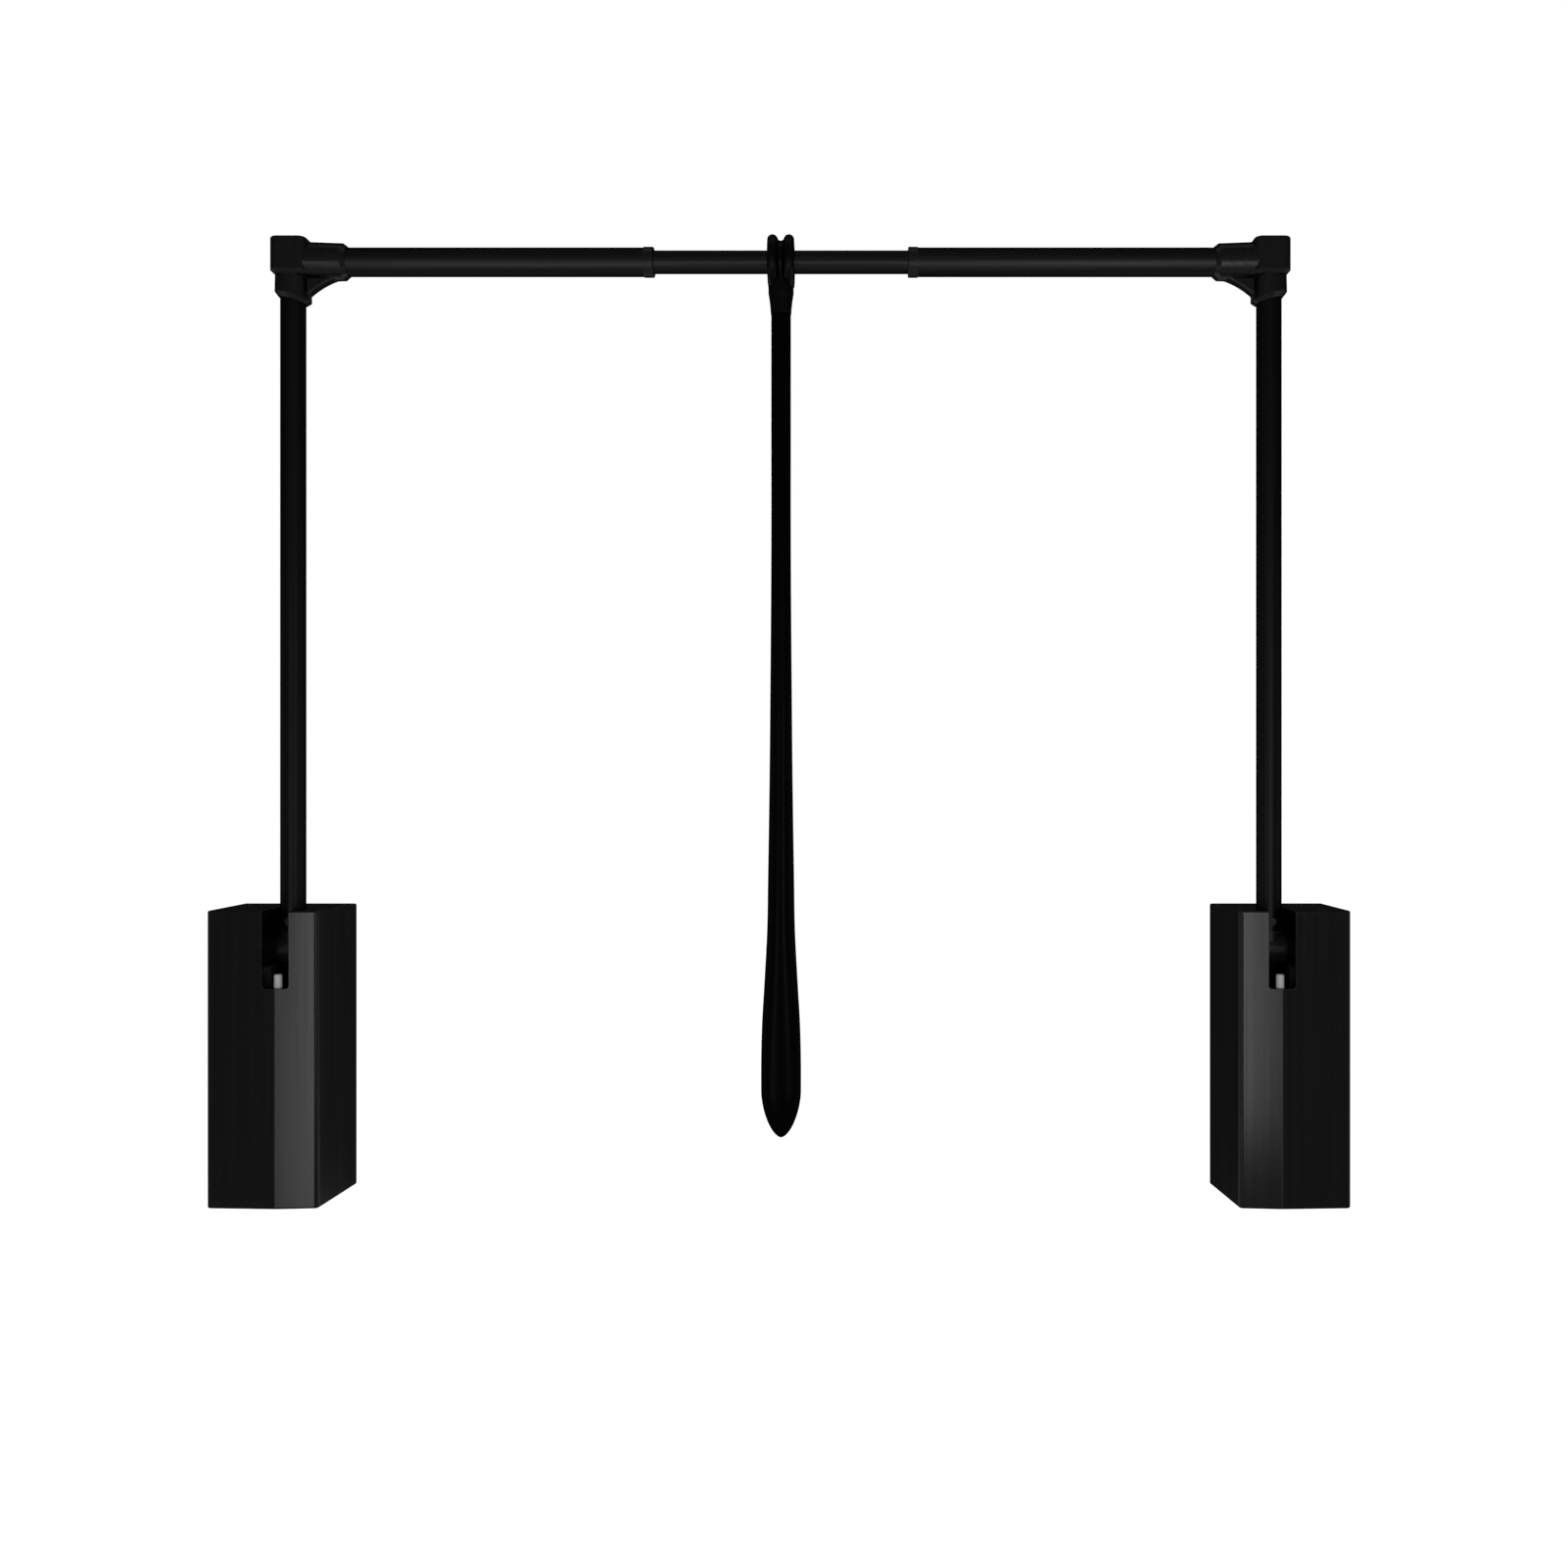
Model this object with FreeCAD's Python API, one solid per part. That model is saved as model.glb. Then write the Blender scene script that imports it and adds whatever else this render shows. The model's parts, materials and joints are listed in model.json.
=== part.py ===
import FreeCAD
import Part
import math
import os

from FreeCAD import Vector

# Pull-down closet rod. Millimetres. The origin is the centre of the left box's wall screws, on the wall:
# x runs from the left wall to the right wall, -y is the front, where the user stands, and z is up.
# The left side is modelled, and the right side is its mirror image about the middle of the rod.

# Whole object
overall_width = 984.0
rod_z = 699.0
middle_x = overall_width / 2

# Box: the front is a shallow ridge along the arm's plane, and the inner side flares towards the back
box_height = 256.0
box_depth = 88.0
box_front_width = 96.0
box_back_width = 103.0
ridge_drop = 3.0
wall = 3.0
half_height = box_height / 2
half_depth = box_depth / 2
edge_round = 1.6
front_corner_round = 4.0
back_corner_round = 3.0
seam_half = 0.3
seam_depth = 0.5

# Arm plane, slot and stop
arm_x = 60.0
arm_r = 11.0
arm_wall = 1.2
slot_half = 11.6
slot_bottom_z = 61.0
slot_corner_round = 3.0
shelf_t = 4.0
shelf_back_y = -27.0
peg_y = -36.0
peg_r = 3.5
peg_top_z = 73.1
peg_round = 1.5
peg_stem_r = 2.5

# Cover: tongues over the base's floor take the screws, hooks reach behind the base's back wall
cover_gap = 0.2
tab_t = 2.4
tab_reach = 15.0
tab_half = 8.0
tab_root = 4.0
tongue_t = 3.6
hook_z = 70.0
rib_t = 1.6
rib_depth = 4.0
rib_levels = (-90.0, -45.0, 0.0, 45.0)
axle_boss_r = 9.0
axle_boss_start = 80.0
axle_boss_gap = 0.1
cover_screw_r = 1.6
cover_screw_head_r = 3.2
cover_screw_head = 1.5
cover_screw_length = 7.0
cover_screw_x = 53.0
cover_screw_y = 22.0
screw_clearance = 0.15

# Wall fixing
plate_t = 3.0
plate_half_y = 35.5
plate_half_z = 120.0
plate_corner = 6.0
plate_face = wall + plate_t
wall_hole_y = 31.0
wall_hole_z = 112.0
wall_hole_r = 2.6

# Axle, hub and bushes
axle_z = 92.0
axle_r = 5.0
axle_shoulder_r = 8.0
axle_shoulder_end = 28.0
axle_flange_r = 11.0
axle_flange_t = 3.0
axle_rivet_r = 4.0
axle_end = 88.0
hub_r = 12.5
hub_start = 30.0
hub_end = 74.0
hub_chamfer = 0.8
bush_r = 7.0
bush_flange_r = 9.0
bush_flange_t = 1.5
bush_length = 14.0
clip_x = 76.0
clip_t = 1.2
clip_r = 8.0
clip_groove_r = 4.0
clip_mouth = 6.4
clip_side = 0.1
spigot_length = 66.0
spigot_chamfer = 1.5
spigot_gap = 0.1
arm_collar_start = 6.0
tube_start = 15.0
rivet_rise = 9.0
rivet_r = 2.0
rivet_head_r = 3.4
rivet_head_t = 0.6

# Lifting cam: the follower's centre is cam_base below the axle at rest and goes down by cam_rise per radian
cam_base = 20.0
cam_rise = 9.167
cam_start = math.radians(-14.0)
cam_end = math.radians(113.0)
cam_nose_round = 3.0
cam_x0 = 32.0
cam_x1 = 42.0
shoe_r = 6.0
shoe_side = 1.0
shoe_foot = 14.0
cam_gap = 0.3

# Gas spring under the cam
spring_x = (cam_x0 + cam_x1) / 2
spring_r = 10.0
spring_wall = 1.5
spring_floor = 4.0
spring_chamfer = 1.5
spring_bottom_z = -116.0
spring_top_z = 36.0
spring_gland = 12.0
piston_rod_r = 4.0
piston_rod_end = 4.0
piston_r = spring_r - spring_wall - 0.3
piston_z = -28.0
piston_t = 8.0
stud_length = 6.5
bracket_t = 3.0
bracket_half_y = 13.0
bracket_foot = 26.0
bracket_end = spring_x + spring_r + 3.0
bracket_round = 4.0
nut_r = 7.5
nut_t = 3.0
saddle_low_z = 6.0
saddle_high_z = 22.0
saddle_wall = 3.0
saddle_foot = 6.0
saddle_web_half = 4.0

# Corner elbow, measured from the arm's axis and the rod's axis
elbow_mouth_r = 16.0
elbow_top_r = 15.0
elbow_root_r = 17.6
elbow_lip_r = 13.2
elbow_lip = 3.6
elbow_reach = 49.0
elbow_top = 18.2
elbow_round = 1.8
hub_half = 16.0
hub_half_depth = 17.8
hub_drop = 14.0
hub_corner = 7.0
hub_bevel = 3.0
mouth_outer_drop = 30.5
mouth_inner_drop = 39.0
barrel_drop = 46.0
gusset_t = 11.0
gusset_round = 2.0
gusset_reach = 41.0
gusset_reach_drop = 15.0
gusset_waist = 27.0
gusset_waist_drop = 21.3
gusset_heel = 15.0
gusset_heel_drop = 30.0
arm_stop = 5.0
sleeve_stop = 15.0
cap_r = 12.4
cap_top = 19.6
cap_round = 1.0
cap_stem_r = 7.0
cap_stem = 5.5
rod_screw_r = 2.5
rod_screw_head_r = 4.5
rod_screw_head = 2.2
rod_screw_head_round = 1.4
rod_screw_depth = 16.0
arm_screw_r = 2.0
arm_screw_head_r = 3.5
arm_screw_head = 1.8
arm_screw_drop = 20.0
head_recess = 0.5
head_clearance = 0.3

# Telescopic rod
sleeve_r = 12.5
sleeve_wall = 1.2
sleeve_end_x = 378.0
plug_length = 20.0
tube_r = 10.0
tube_wall = 1.2
tube_half_length = 270.0
ring_r = 13.1
ring_cover = 7.0
ring_depth = 24.0
ring_lip = 1.5
ring_chamfer = 0.5
guide_length = 20.0
guide_cap = 3.0

# Pull handle, measured down from the rod's axis
collar_half = 11.5
bead_r = 23.5
bead_x = 7.3
bead_side_r = 20.9
groove_edge_x = 2.8
groove_edge_r = 20.2
groove_r = 18.2
neck_r = 11.2
neck_straight_end = 28.0
neck_taper = 39.0
neck_taper_r = 9.6
neck_end = 46.0
neck_end_r = 9.1
tenon_r = 5.5
tenon_top = 17.0
tenon_gap = 0.5
collar_screw_r = 1.3
collar_screw_head_r = 2.4
collar_screw_head = 1.8
collar_screw_tip_y = -6.0
upper_screw = Vector(6.8, 8.0, 15.5)
lower_screw = Vector(8.2, 3.0, -22.0)
pull_r = 8.7
grip_start = 548.0
grip_start_r = 11.6
grip_wide_at = 734.0
grip_half_width = 17.7
grip_half_thick = 8.4
grip_end = 775.0
grip_tip_power = 1.7
grip_tenon_r = 7.0
grip_tenon = 42.0
grip_pin_r = 2.0
grip_pin_half = 10.4
grip_pin_at = 570.0

# Fits, and how far a cutter reaches past a face or past everything
running = 0.06
seat = 0.03
past = 5.0
far = 400.0

X = Vector(1, 0, 0)
Y = Vector(0, 1, 0)
Z = Vector(0, 0, 1)


def block(x0, x1, y0, y1, z0, z1):
    return Part.makeBox(x1 - x0, y1 - y0, z1 - z0, Vector(x0, y0, z0))


def along_x(radius, x0, x1, y=0.0, z=0.0):
    return Part.makeCylinder(radius, x1 - x0, Vector(x0, y, z), X)


def along_y(radius, y0, y1, x=0.0, z=0.0):
    return Part.makeCylinder(radius, y1 - y0, Vector(x, y0, z), Y)


def along_z(radius, z0, z1, x=0.0, y=0.0):
    return Part.makeCylinder(radius, z1 - z0, Vector(x, y, z0), Z)


def tube_along_x(radius, bore, x0, x1, z):
    return along_x(radius, x0, x1, z=z).cut(along_x(bore, x0 - past, x1 + past, z=z))


def turned(profile, base, axis):
    """A solid of revolution: `profile` is a closed wire that lies beside the axis."""
    return Part.Face(profile).revolve(base, axis, 360)


def arc(start, middle, end):
    return Part.Arc(start, middle, end).toShape()


def smooth_line(points):
    """A smooth curve through a few points."""
    curve = Part.BSplineCurve()
    curve.interpolate(points)
    return curve.toShape()


def edges_along(shape, direction, test):
    """The straight edges of `shape` that run along `direction` and whose middle point passes `test`."""
    found = []
    for edge in shape.Edges:
        if len(edge.Vertexes) == 2:
            span = edge.Vertexes[1].Point - edge.Vertexes[0].Point
            if span.Length > 1e-6 and span.cross(direction).Length < 1e-6 * span.Length:
                if test(edge.CenterOfMass):
                    found.append(edge)
    return found


def flat_edges(shape, z):
    """The edges of `shape` that lie in the level plane z."""
    return [e for e in shape.Edges if abs(e.BoundBox.ZMin - z) < 1e-5 and abs(e.BoundBox.ZMax - z) < 1e-5]


def upright_edges(shape, x):
    """The edges of `shape` that lie in the upright plane x, square to the rod."""
    return [e for e in shape.Edges if abs(e.BoundBox.XMin - x) < 1e-5 and abs(e.BoundBox.XMax - x) < 1e-5]


# Box shells


def box_outline():
    """The box seen from above, with the ridge of the front on the arm's plane."""
    return [
        Vector(0, -half_depth + ridge_drop, 0),
        Vector(arm_x, -half_depth, 0),
        Vector(box_front_width, -half_depth + ridge_drop, 0),
        Vector(box_back_width, half_depth, 0),
        Vector(0, half_depth, 0),
    ]


def box_prism(inset):
    """The box's outline drawn in by `inset` and extruded, as much shorter at both ends."""
    outline = box_outline()
    wire = Part.makePolygon(outline + outline[:1])
    if inset > 0:
        wire = wire.makeOffset2D(-inset)
    prism = Part.Face(wire).extrude(Z * (box_height - 2 * inset))
    prism.translate(Z * (inset - half_height))
    return prism


def hollow_box():
    """The whole box: outline drawn up to its height, corners rounded, and hollowed to the wall."""
    body = box_prism(0)
    front_corners = edges_along(body, Z, lambda p: p.y < 0 and abs(p.x - arm_x) > 1)
    body = body.makeFillet(front_corner_round, front_corners)
    body = body.makeFillet(back_corner_round, edges_along(body, Z, lambda p: p.y > half_depth - 1))
    body = body.makeFillet(edge_round, flat_edges(body, half_height) + flat_edges(body, -half_height))
    return body.cut(box_prism(wall))


def seam_groove():
    """Fine groove round the outside of the box, where its two halves meet."""
    slice_of_box = block(arm_x - seam_half, arm_x + seam_half, -far, far, -far, far)
    return slice_of_box.cut(box_prism(seam_depth))


def slot_cutter():
    """The arm's way: a slot down the front and back along the top to a round end behind the arm."""
    top = half_height + past
    cutter = block(arm_x - slot_half, arm_x + slot_half, -half_depth - past, 0, slot_bottom_z, top)
    low = edges_along(cutter, Y, lambda p: p.z < slot_bottom_z + 1)
    cutter = cutter.makeFillet(slot_corner_round, low)
    return cutter.fuse(along_z(slot_half, half_height - 2 * wall, top, arm_x))


def peg_shelf():
    """The ledge under the slot that the stop peg stands on."""
    front = -half_depth + wall / 2
    low = slot_bottom_z - shelf_t
    shelf = block(arm_x - slot_half, arm_x + slot_half, front, shelf_back_y, low, slot_bottom_z)
    return shelf.cut(along_z(peg_stem_r + seat, low - past, slot_bottom_z + past, arm_x, peg_y))


def box_halves():
    """The box parted in the arm's plane into the wall side and the room side."""
    whole = hollow_box().cut([slot_cutter(), seam_groove()]).fuse(peg_shelf()).removeSplitter()
    wall_side = block(-far, arm_x, -far, far, -far, far)
    room_side = block(arm_x, far, -far, far, -far, far)
    return whole.common(wall_side), whole.common(room_side)


def base_shell(half):
    """Wall side of the box, with the four wall holes and the sunk holes of the cover screws."""
    for y in (-wall_hole_y, wall_hole_y):
        for z in (-wall_hole_z, wall_hole_z):
            half = half.cut(along_x(wall_hole_r, -past, plate_face, y, z))
    low = -half_height
    for y in (-cover_screw_y, cover_screw_y):
        head_r = cover_screw_head_r + screw_clearance
        sink = along_z(head_r, low - past, low + cover_screw_head, cover_screw_x, y)
        hole = along_z(cover_screw_r + screw_clearance, low, low + 2 * wall, cover_screw_x, y)
        half = half.cut(sink).cut(hole)
    return half


def cover_shell(half):
    """Room side of the box with a boss for the axle's end, stiffening ribs, tongues and hooks."""
    floor = -half_height + wall + cover_gap
    lip = wall / 2
    for y in (-cover_screw_y, cover_screw_y):
        y0 = y - tab_half
        y1 = y + tab_half
        tongue = block(arm_x - tab_reach, arm_x + tab_root, y0, y1, floor, floor + tongue_t)
        foot = block(arm_x, arm_x + tab_root, y0, y1, floor - lip, floor + tongue_t)
        pilot = along_z(cover_screw_r + seat, floor - past, floor + past, cover_screw_x, y)
        half = half.fuse(tongue.cut(pilot)).fuse(foot)
    rear = half_depth - wall - cover_gap
    for z in (-hook_z, hook_z):
        z0 = z - tab_half
        z1 = z + tab_half
        hook = block(arm_x - tab_reach, arm_x + tab_root, rear - tab_t, rear, z0, z1)
        foot = block(arm_x, arm_x + tab_root, rear - tab_t, rear + lip, z0, z1)
        half = half.fuse(hook).fuse(foot)
    rib_end = box_front_width - lip
    rib_start = box_front_width - wall - rib_depth
    inside = half_depth - wall
    for z in rib_levels:
        rib = block(rib_start, rib_end, -inside, inside, z - rib_t / 2, z + rib_t / 2)
        half = half.fuse(rib)
    boss = along_x(axle_boss_r, axle_boss_start, box_front_width, z=axle_z)
    socket = along_x(axle_r + axle_boss_gap, axle_boss_start - past, axle_end + lip, z=axle_z)
    return half.fuse(boss).cut(socket).removeSplitter()


def cover_screws():
    """Two flat-headed screws from below, through the base into the cover's tongues."""
    low = -half_height
    top = low + cover_screw_head
    screws = []
    for y in (-cover_screw_y, cover_screw_y):
        head = along_z(cover_screw_head_r, low, top, cover_screw_x, y)
        shank = along_z(cover_screw_r, low, top + cover_screw_length, cover_screw_x, y)
        screws.append(head.fuse(shank).removeSplitter())
    return Part.makeCompound(screws)


def stop_peg():
    """Buffer peg with a rounded top on a stem that sits in the shelf."""
    peg = along_z(peg_r, slot_bottom_z, peg_top_z, arm_x, peg_y)
    peg = peg.makeFillet(peg_round, flat_edges(peg, peg_top_z))
    stem = along_z(peg_stem_r, slot_bottom_z - shelf_t, peg_top_z - past, arm_x, peg_y)
    return peg.fuse(stem).removeSplitter()


# Steel inside the box


def backing_plate():
    """Steel plate on the wall side, with the four wall holes and the hole for the axle's rivet end."""
    plate = block(wall, plate_face, -plate_half_y, plate_half_y, -plate_half_z, plate_half_z)
    plate = plate.makeFillet(plate_corner, edges_along(plate, X, lambda p: True))
    for y in (-wall_hole_y, wall_hole_y):
        for z in (-wall_hole_z, wall_hole_z):
            plate = plate.cut(along_x(wall_hole_r, 0, 2 * plate_face, y, z))
    return plate.cut(along_x(axle_rivet_r + seat, 0, 2 * plate_face, z=axle_z))


def axle():
    """Stepped stud: rivet end, flange on the plate, shoulder, journal and a groove for the clip."""
    steps = [
        (axle_rivet_r, wall + cover_gap, axle_end),
        (axle_flange_r, plate_face, plate_face + axle_flange_t),
        (axle_shoulder_r, plate_face, axle_shoulder_end),
        (axle_r, plate_face, axle_end),
    ]
    cylinders = [along_x(radius, start, end, z=axle_z) for radius, start, end in steps]
    stud = cylinders[0].fuse(cylinders[1:])
    groove = tube_along_x(axle_shoulder_r, clip_groove_r, clip_x, clip_x + clip_t, axle_z)
    return stud.cut(groove).removeSplitter()


def axle_clip():
    """Open retaining ring in the axle's groove."""
    ring = tube_along_x(clip_r, clip_groove_r + seat, clip_x + clip_side, clip_x + clip_t - clip_side, axle_z)
    half_mouth = clip_mouth / 2
    return ring.cut(block(clip_x, clip_x + clip_t, -half_mouth, half_mouth, axle_z - 2 * clip_r, axle_z))


def axle_bushes():
    """Two flanged bushes, pressed into the ends of the hub and running on the axle."""
    hole = along_x(axle_r + running, hub_start - past, hub_end + past, z=axle_z)
    bushes = []
    for start, flange_start in ((hub_start, hub_start - bush_flange_t), (hub_end - bush_length, hub_end)):
        sleeve = along_x(bush_r, start, start + bush_length, z=axle_z)
        flange = along_x(bush_flange_r, flange_start, flange_start + bush_flange_t, z=axle_z)
        bushes.append(sleeve.fuse(flange).cut(hole).removeSplitter())
    return Part.makeCompound(bushes)


def cam_point(angle):
    """A point of the cam's working face: the follower's path, pulled in by the follower's radius and gap."""
    radius = cam_base + cam_rise * angle
    out = Vector(0, -math.sin(angle), -math.cos(angle))
    onward = Vector(0, -math.cos(angle), math.sin(angle))
    inward = (onward * cam_rise - out * radius).normalize()
    return out * radius + inward * (shoe_r + cam_gap)


def cam():
    """Spiral cam: its radius grows evenly with the angle, so the follower moves evenly with the arm."""
    steps = 12
    path = [cam_point(cam_start + (cam_end - cam_start) * i / steps) for i in range(steps + 1)]
    centre = Vector(0, 0, 0)
    heel = Part.LineSegment(centre, path[0]).toShape()
    nose = Part.LineSegment(path[-1], centre).toShape()
    lobe = Part.Face(Part.Wire([heel, smooth_line(path), nose])).extrude(X * (cam_x1 - cam_x0))
    tip = edges_along(lobe, X, lambda p: (Vector(0, p.y, p.z) - path[-1]).Length < 0.1)
    lobe = lobe.makeFillet(cam_nose_round, tip)
    lobe.translate(Vector(cam_x0, 0, axle_z))
    return lobe


def arm_knuckle():
    """Die-cast hub with the spigot for the arm tube, a stop collar and the cam."""
    hub = along_x(hub_r, hub_start, hub_end, z=axle_z)
    hub = hub.makeChamfer(hub_chamfer, upright_edges(hub, hub_start) + upright_edges(hub, hub_end))
    spigot_end = axle_z + spigot_length
    spigot = along_z(arm_r - arm_wall - spigot_gap, axle_z, spigot_end, arm_x)
    spigot = spigot.makeChamfer(spigot_chamfer, flat_edges(spigot, spigot_end))
    collar = along_z(arm_r, axle_z + arm_collar_start, axle_z + tube_start, arm_x)
    bore = along_x(bush_r + seat, hub_start - past, hub_end + past, z=axle_z)
    rivet_hole = along_y(rivet_r + seat, -2 * arm_r, 2 * arm_r, arm_x, axle_z + tube_start + rivet_rise)
    return hub.fuse([spigot, collar, cam()]).cut(bore).cut(rivet_hole).removeSplitter()


def cam_follower():
    """Nylon shoe: a half-round head under the cam on a square foot that takes the piston rod."""
    z = axle_z - cam_base
    x0 = cam_x0 - shoe_side
    x1 = cam_x1 + shoe_side
    foot = block(x0, x1, -shoe_r, shoe_r, z - shoe_foot, z)
    shoe = along_x(shoe_r, x0, x1, z=z).fuse(foot).removeSplitter()
    return shoe.cut(along_z(piston_rod_r + seat, z - shoe_foot - past, z - piston_rod_end, spring_x))


def gas_spring_rod():
    """Piston rod, from the shoe down into the pressure tube, with the piston on its lower end."""
    rod = along_z(piston_rod_r, piston_z, axle_z - cam_base - piston_rod_end, spring_x)
    return rod.fuse(along_z(piston_r, piston_z, piston_z + piston_t, spring_x)).removeSplitter()


def gas_spring_body():
    """Pressure tube with a closed floor and a stud, and a gland that the piston rod slides in."""
    tube = along_z(spring_r, spring_bottom_z, spring_top_z, spring_x)
    rims = flat_edges(tube, spring_top_z) + flat_edges(tube, spring_bottom_z)
    tube = tube.makeChamfer(spring_chamfer, rims)
    floor = spring_bottom_z + spring_floor
    chamber = along_z(spring_r - spring_wall, floor, spring_top_z - spring_gland, spring_x)
    gland = along_z(piston_rod_r + running, floor, spring_top_z + past, spring_x)
    stud = along_z(piston_rod_r, spring_bottom_z - stud_length, floor, spring_x)
    return tube.fuse(stud).cut(chamber).cut(gland).removeSplitter()


def spring_bracket():
    """Folded steel seat: a foot on the plate and a shelf under the gas spring."""
    low = spring_bottom_z - bracket_t
    foot = block(plate_face, plate_face + bracket_t, -bracket_half_y, bracket_half_y, low, low + bracket_foot)
    shelf = block(plate_face, bracket_end, -bracket_half_y, bracket_half_y, low, spring_bottom_z)
    bracket = foot.fuse(shelf).removeSplitter()
    bracket = bracket.makeFillet(bracket_round, edges_along(bracket, Z, lambda p: p.x > bracket_end - 1))
    return bracket.cut(along_z(piston_rod_r + seat, low - past, spring_bottom_z + past, spring_x))


def spring_nut():
    """Hexagon nut on the gas spring's stud, under the bracket."""
    top = spring_bottom_z - bracket_t
    turns = [math.radians(60 * i) for i in range(6)]
    corners = [Vector(math.cos(a), math.sin(a), 0) * nut_r for a in turns]
    hexagon = Part.Face(Part.makePolygon(corners + corners[:1])).extrude(Z * nut_t)
    hexagon.translate(Vector(spring_x, 0, top - nut_t))
    return hexagon.cut(along_z(piston_rod_r + seat, top - nut_t - past, top + past, spring_x))


def spring_saddle():
    """Upper holder: a ring round the pressure tube on an arm from the plate."""
    ring = along_z(spring_r + saddle_wall, saddle_low_z, saddle_high_z, spring_x)
    foot_low = saddle_low_z - saddle_foot
    foot_high = saddle_high_z + saddle_foot
    foot_front = plate_face + bracket_t
    foot = block(plate_face, foot_front, -bracket_half_y, bracket_half_y, foot_low, foot_high)
    web = block(plate_face, spring_x, -saddle_web_half, saddle_web_half, saddle_low_z, saddle_high_z)
    bore = along_z(spring_r + seat, saddle_low_z - past, saddle_high_z + past, spring_x)
    return ring.fuse([foot, web]).cut(bore).removeSplitter()


# Arm and corner


def arm_tube():
    """Steel tube from the knuckle up into the corner, drilled for the rivet and the corner's screw."""
    z0 = axle_z + tube_start
    z1 = rod_z - arm_stop
    tube = along_z(arm_r, z0, z1, arm_x).cut(along_z(arm_r - arm_wall, z0 - past, z1 + past, arm_x))
    rivet_hole = along_y(rivet_r + seat, -2 * arm_r, 2 * arm_r, arm_x, z0 + rivet_rise)
    screw_hole = along_y(arm_screw_r + seat, 0, 2 * arm_r, arm_x, rod_z - arm_screw_drop)
    return tube.cut(rivet_hole).cut(screw_hole)


def arm_rivet():
    """Cross rivet through tube and spigot, with two thin heads shaped to the tube."""
    z = axle_z + tube_start + rivet_rise
    end = arm_r + rivet_head_t
    heads = along_y(rivet_head_r, -end, end, arm_x, z).cut(along_z(arm_r, z - past, z + past, arm_x))
    return along_y(rivet_r, -end, end, arm_x, z).fuse(heads).removeSplitter()


def elbow_place(out, drop):
    """A point in the arm's plane, `out` along the rod and `drop` below it."""
    return Vector(arm_x + out, 0, rod_z - drop)


def elbow_gusset():
    """Web in the inner corner, with a slightly hollow, rounded edge from one socket to the other."""
    lip = elbow_place(gusset_reach, gusset_reach_drop)
    heel = elbow_place(gusset_heel, gusset_heel_drop)
    edge = arc(lip, elbow_place(gusset_waist, gusset_waist_drop), heel)
    inner = [heel, elbow_place(0, gusset_heel_drop), elbow_place(0, 0), elbow_place(gusset_reach, 0), lip]
    web = Part.Face(Part.Wire([edge] + Part.makePolygon(inner).Edges)).extrude(Y * gusset_t)
    rims = [e for e in web.Edges if e.Curve.TypeId == edge.Curve.TypeId]
    web = web.makeFillet(gusset_round, rims)
    web.translate(Y * (-gusset_t / 2))
    return web


def below_mouth():
    """All that lies below the arm socket's slanting mouth, which reaches lower on the gusset's side."""
    run = 3 * elbow_mouth_r
    slope = (mouth_inner_drop - mouth_outer_drop) / (2 * elbow_mouth_r)
    middle = (mouth_inner_drop + mouth_outer_drop) / 2
    corners = [
        elbow_place(-run, middle - slope * run),
        elbow_place(run, middle + slope * run),
        elbow_place(run, far),
        elbow_place(-run, far),
    ]
    wedge = Part.Face(Part.makePolygon(corners + corners[:1])).extrude(Y * 2 * run)
    wedge.translate(Y * -run)
    return wedge


def elbow_upright():
    """The arm's socket: a slightly tapered barrel with a bevelled, slanting mouth."""
    low = Vector(arm_x, 0, rod_z - barrel_drop)
    barrel = Part.makeCone(elbow_mouth_r, elbow_top_r, barrel_drop, low, Z).cut(below_mouth())
    mouth = [e for e in barrel.Edges if e.CenterOfMass.z < rod_z - mouth_outer_drop]
    return barrel.makeChamfer(elbow_lip, mouth)


def elbow_hub():
    """Rounded block where the two sockets meet, with softened upper edges and a bevel underneath."""
    low = rod_z - hub_drop
    top = rod_z + elbow_top
    hub = block(arm_x - hub_half, arm_x + hub_half, -hub_half_depth, hub_half_depth, low, top)
    hub = hub.makeFillet(hub_corner, edges_along(hub, Z, lambda middle: True))
    hub = hub.makeFillet(elbow_round, flat_edges(hub, top))
    return hub.makeChamfer(hub_bevel, flat_edges(hub, low))


def corner_elbow():
    """Moulded corner: a socket down for the arm, one sideways for the sleeve, a hub and a gusset between."""
    top = rod_z + elbow_top
    lip_x = arm_x + elbow_reach - elbow_lip
    level = Part.makeCone(elbow_root_r, elbow_mouth_r, lip_x - arm_x, Vector(arm_x, 0, rod_z), X)
    level_lip = Part.makeCone(elbow_mouth_r, elbow_lip_r, elbow_lip, Vector(lip_x, 0, rod_z), X)
    body = elbow_upright().fuse([level, level_lip, elbow_hub(), elbow_gusset()]).removeSplitter()
    head_x = arm_x - hub_half
    arm_screw_z = rod_z - arm_screw_drop
    cutters = [
        along_z(arm_r + seat, rod_z - barrel_drop, rod_z - arm_stop, arm_x),
        along_x(sleeve_r + seat, arm_x + sleeve_stop, lip_x + 2 * past, z=rod_z),
        along_z(cap_stem_r + seat, top - cap_stem - head_recess, top + past, arm_x),
        along_x(rod_screw_r + seat, head_x - past, arm_x + sleeve_stop + past, z=rod_z),
        along_x(rod_screw_head_r + head_clearance, head_x - past, head_x + head_recess, z=rod_z),
        along_y(arm_screw_r + seat, 0, 2 * elbow_mouth_r, arm_x, arm_screw_z),
        along_y(arm_screw_head_r + head_clearance, elbow_top_r, 2 * elbow_mouth_r, arm_x, arm_screw_z),
    ]
    return body.cut(cutters).removeSplitter()


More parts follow.
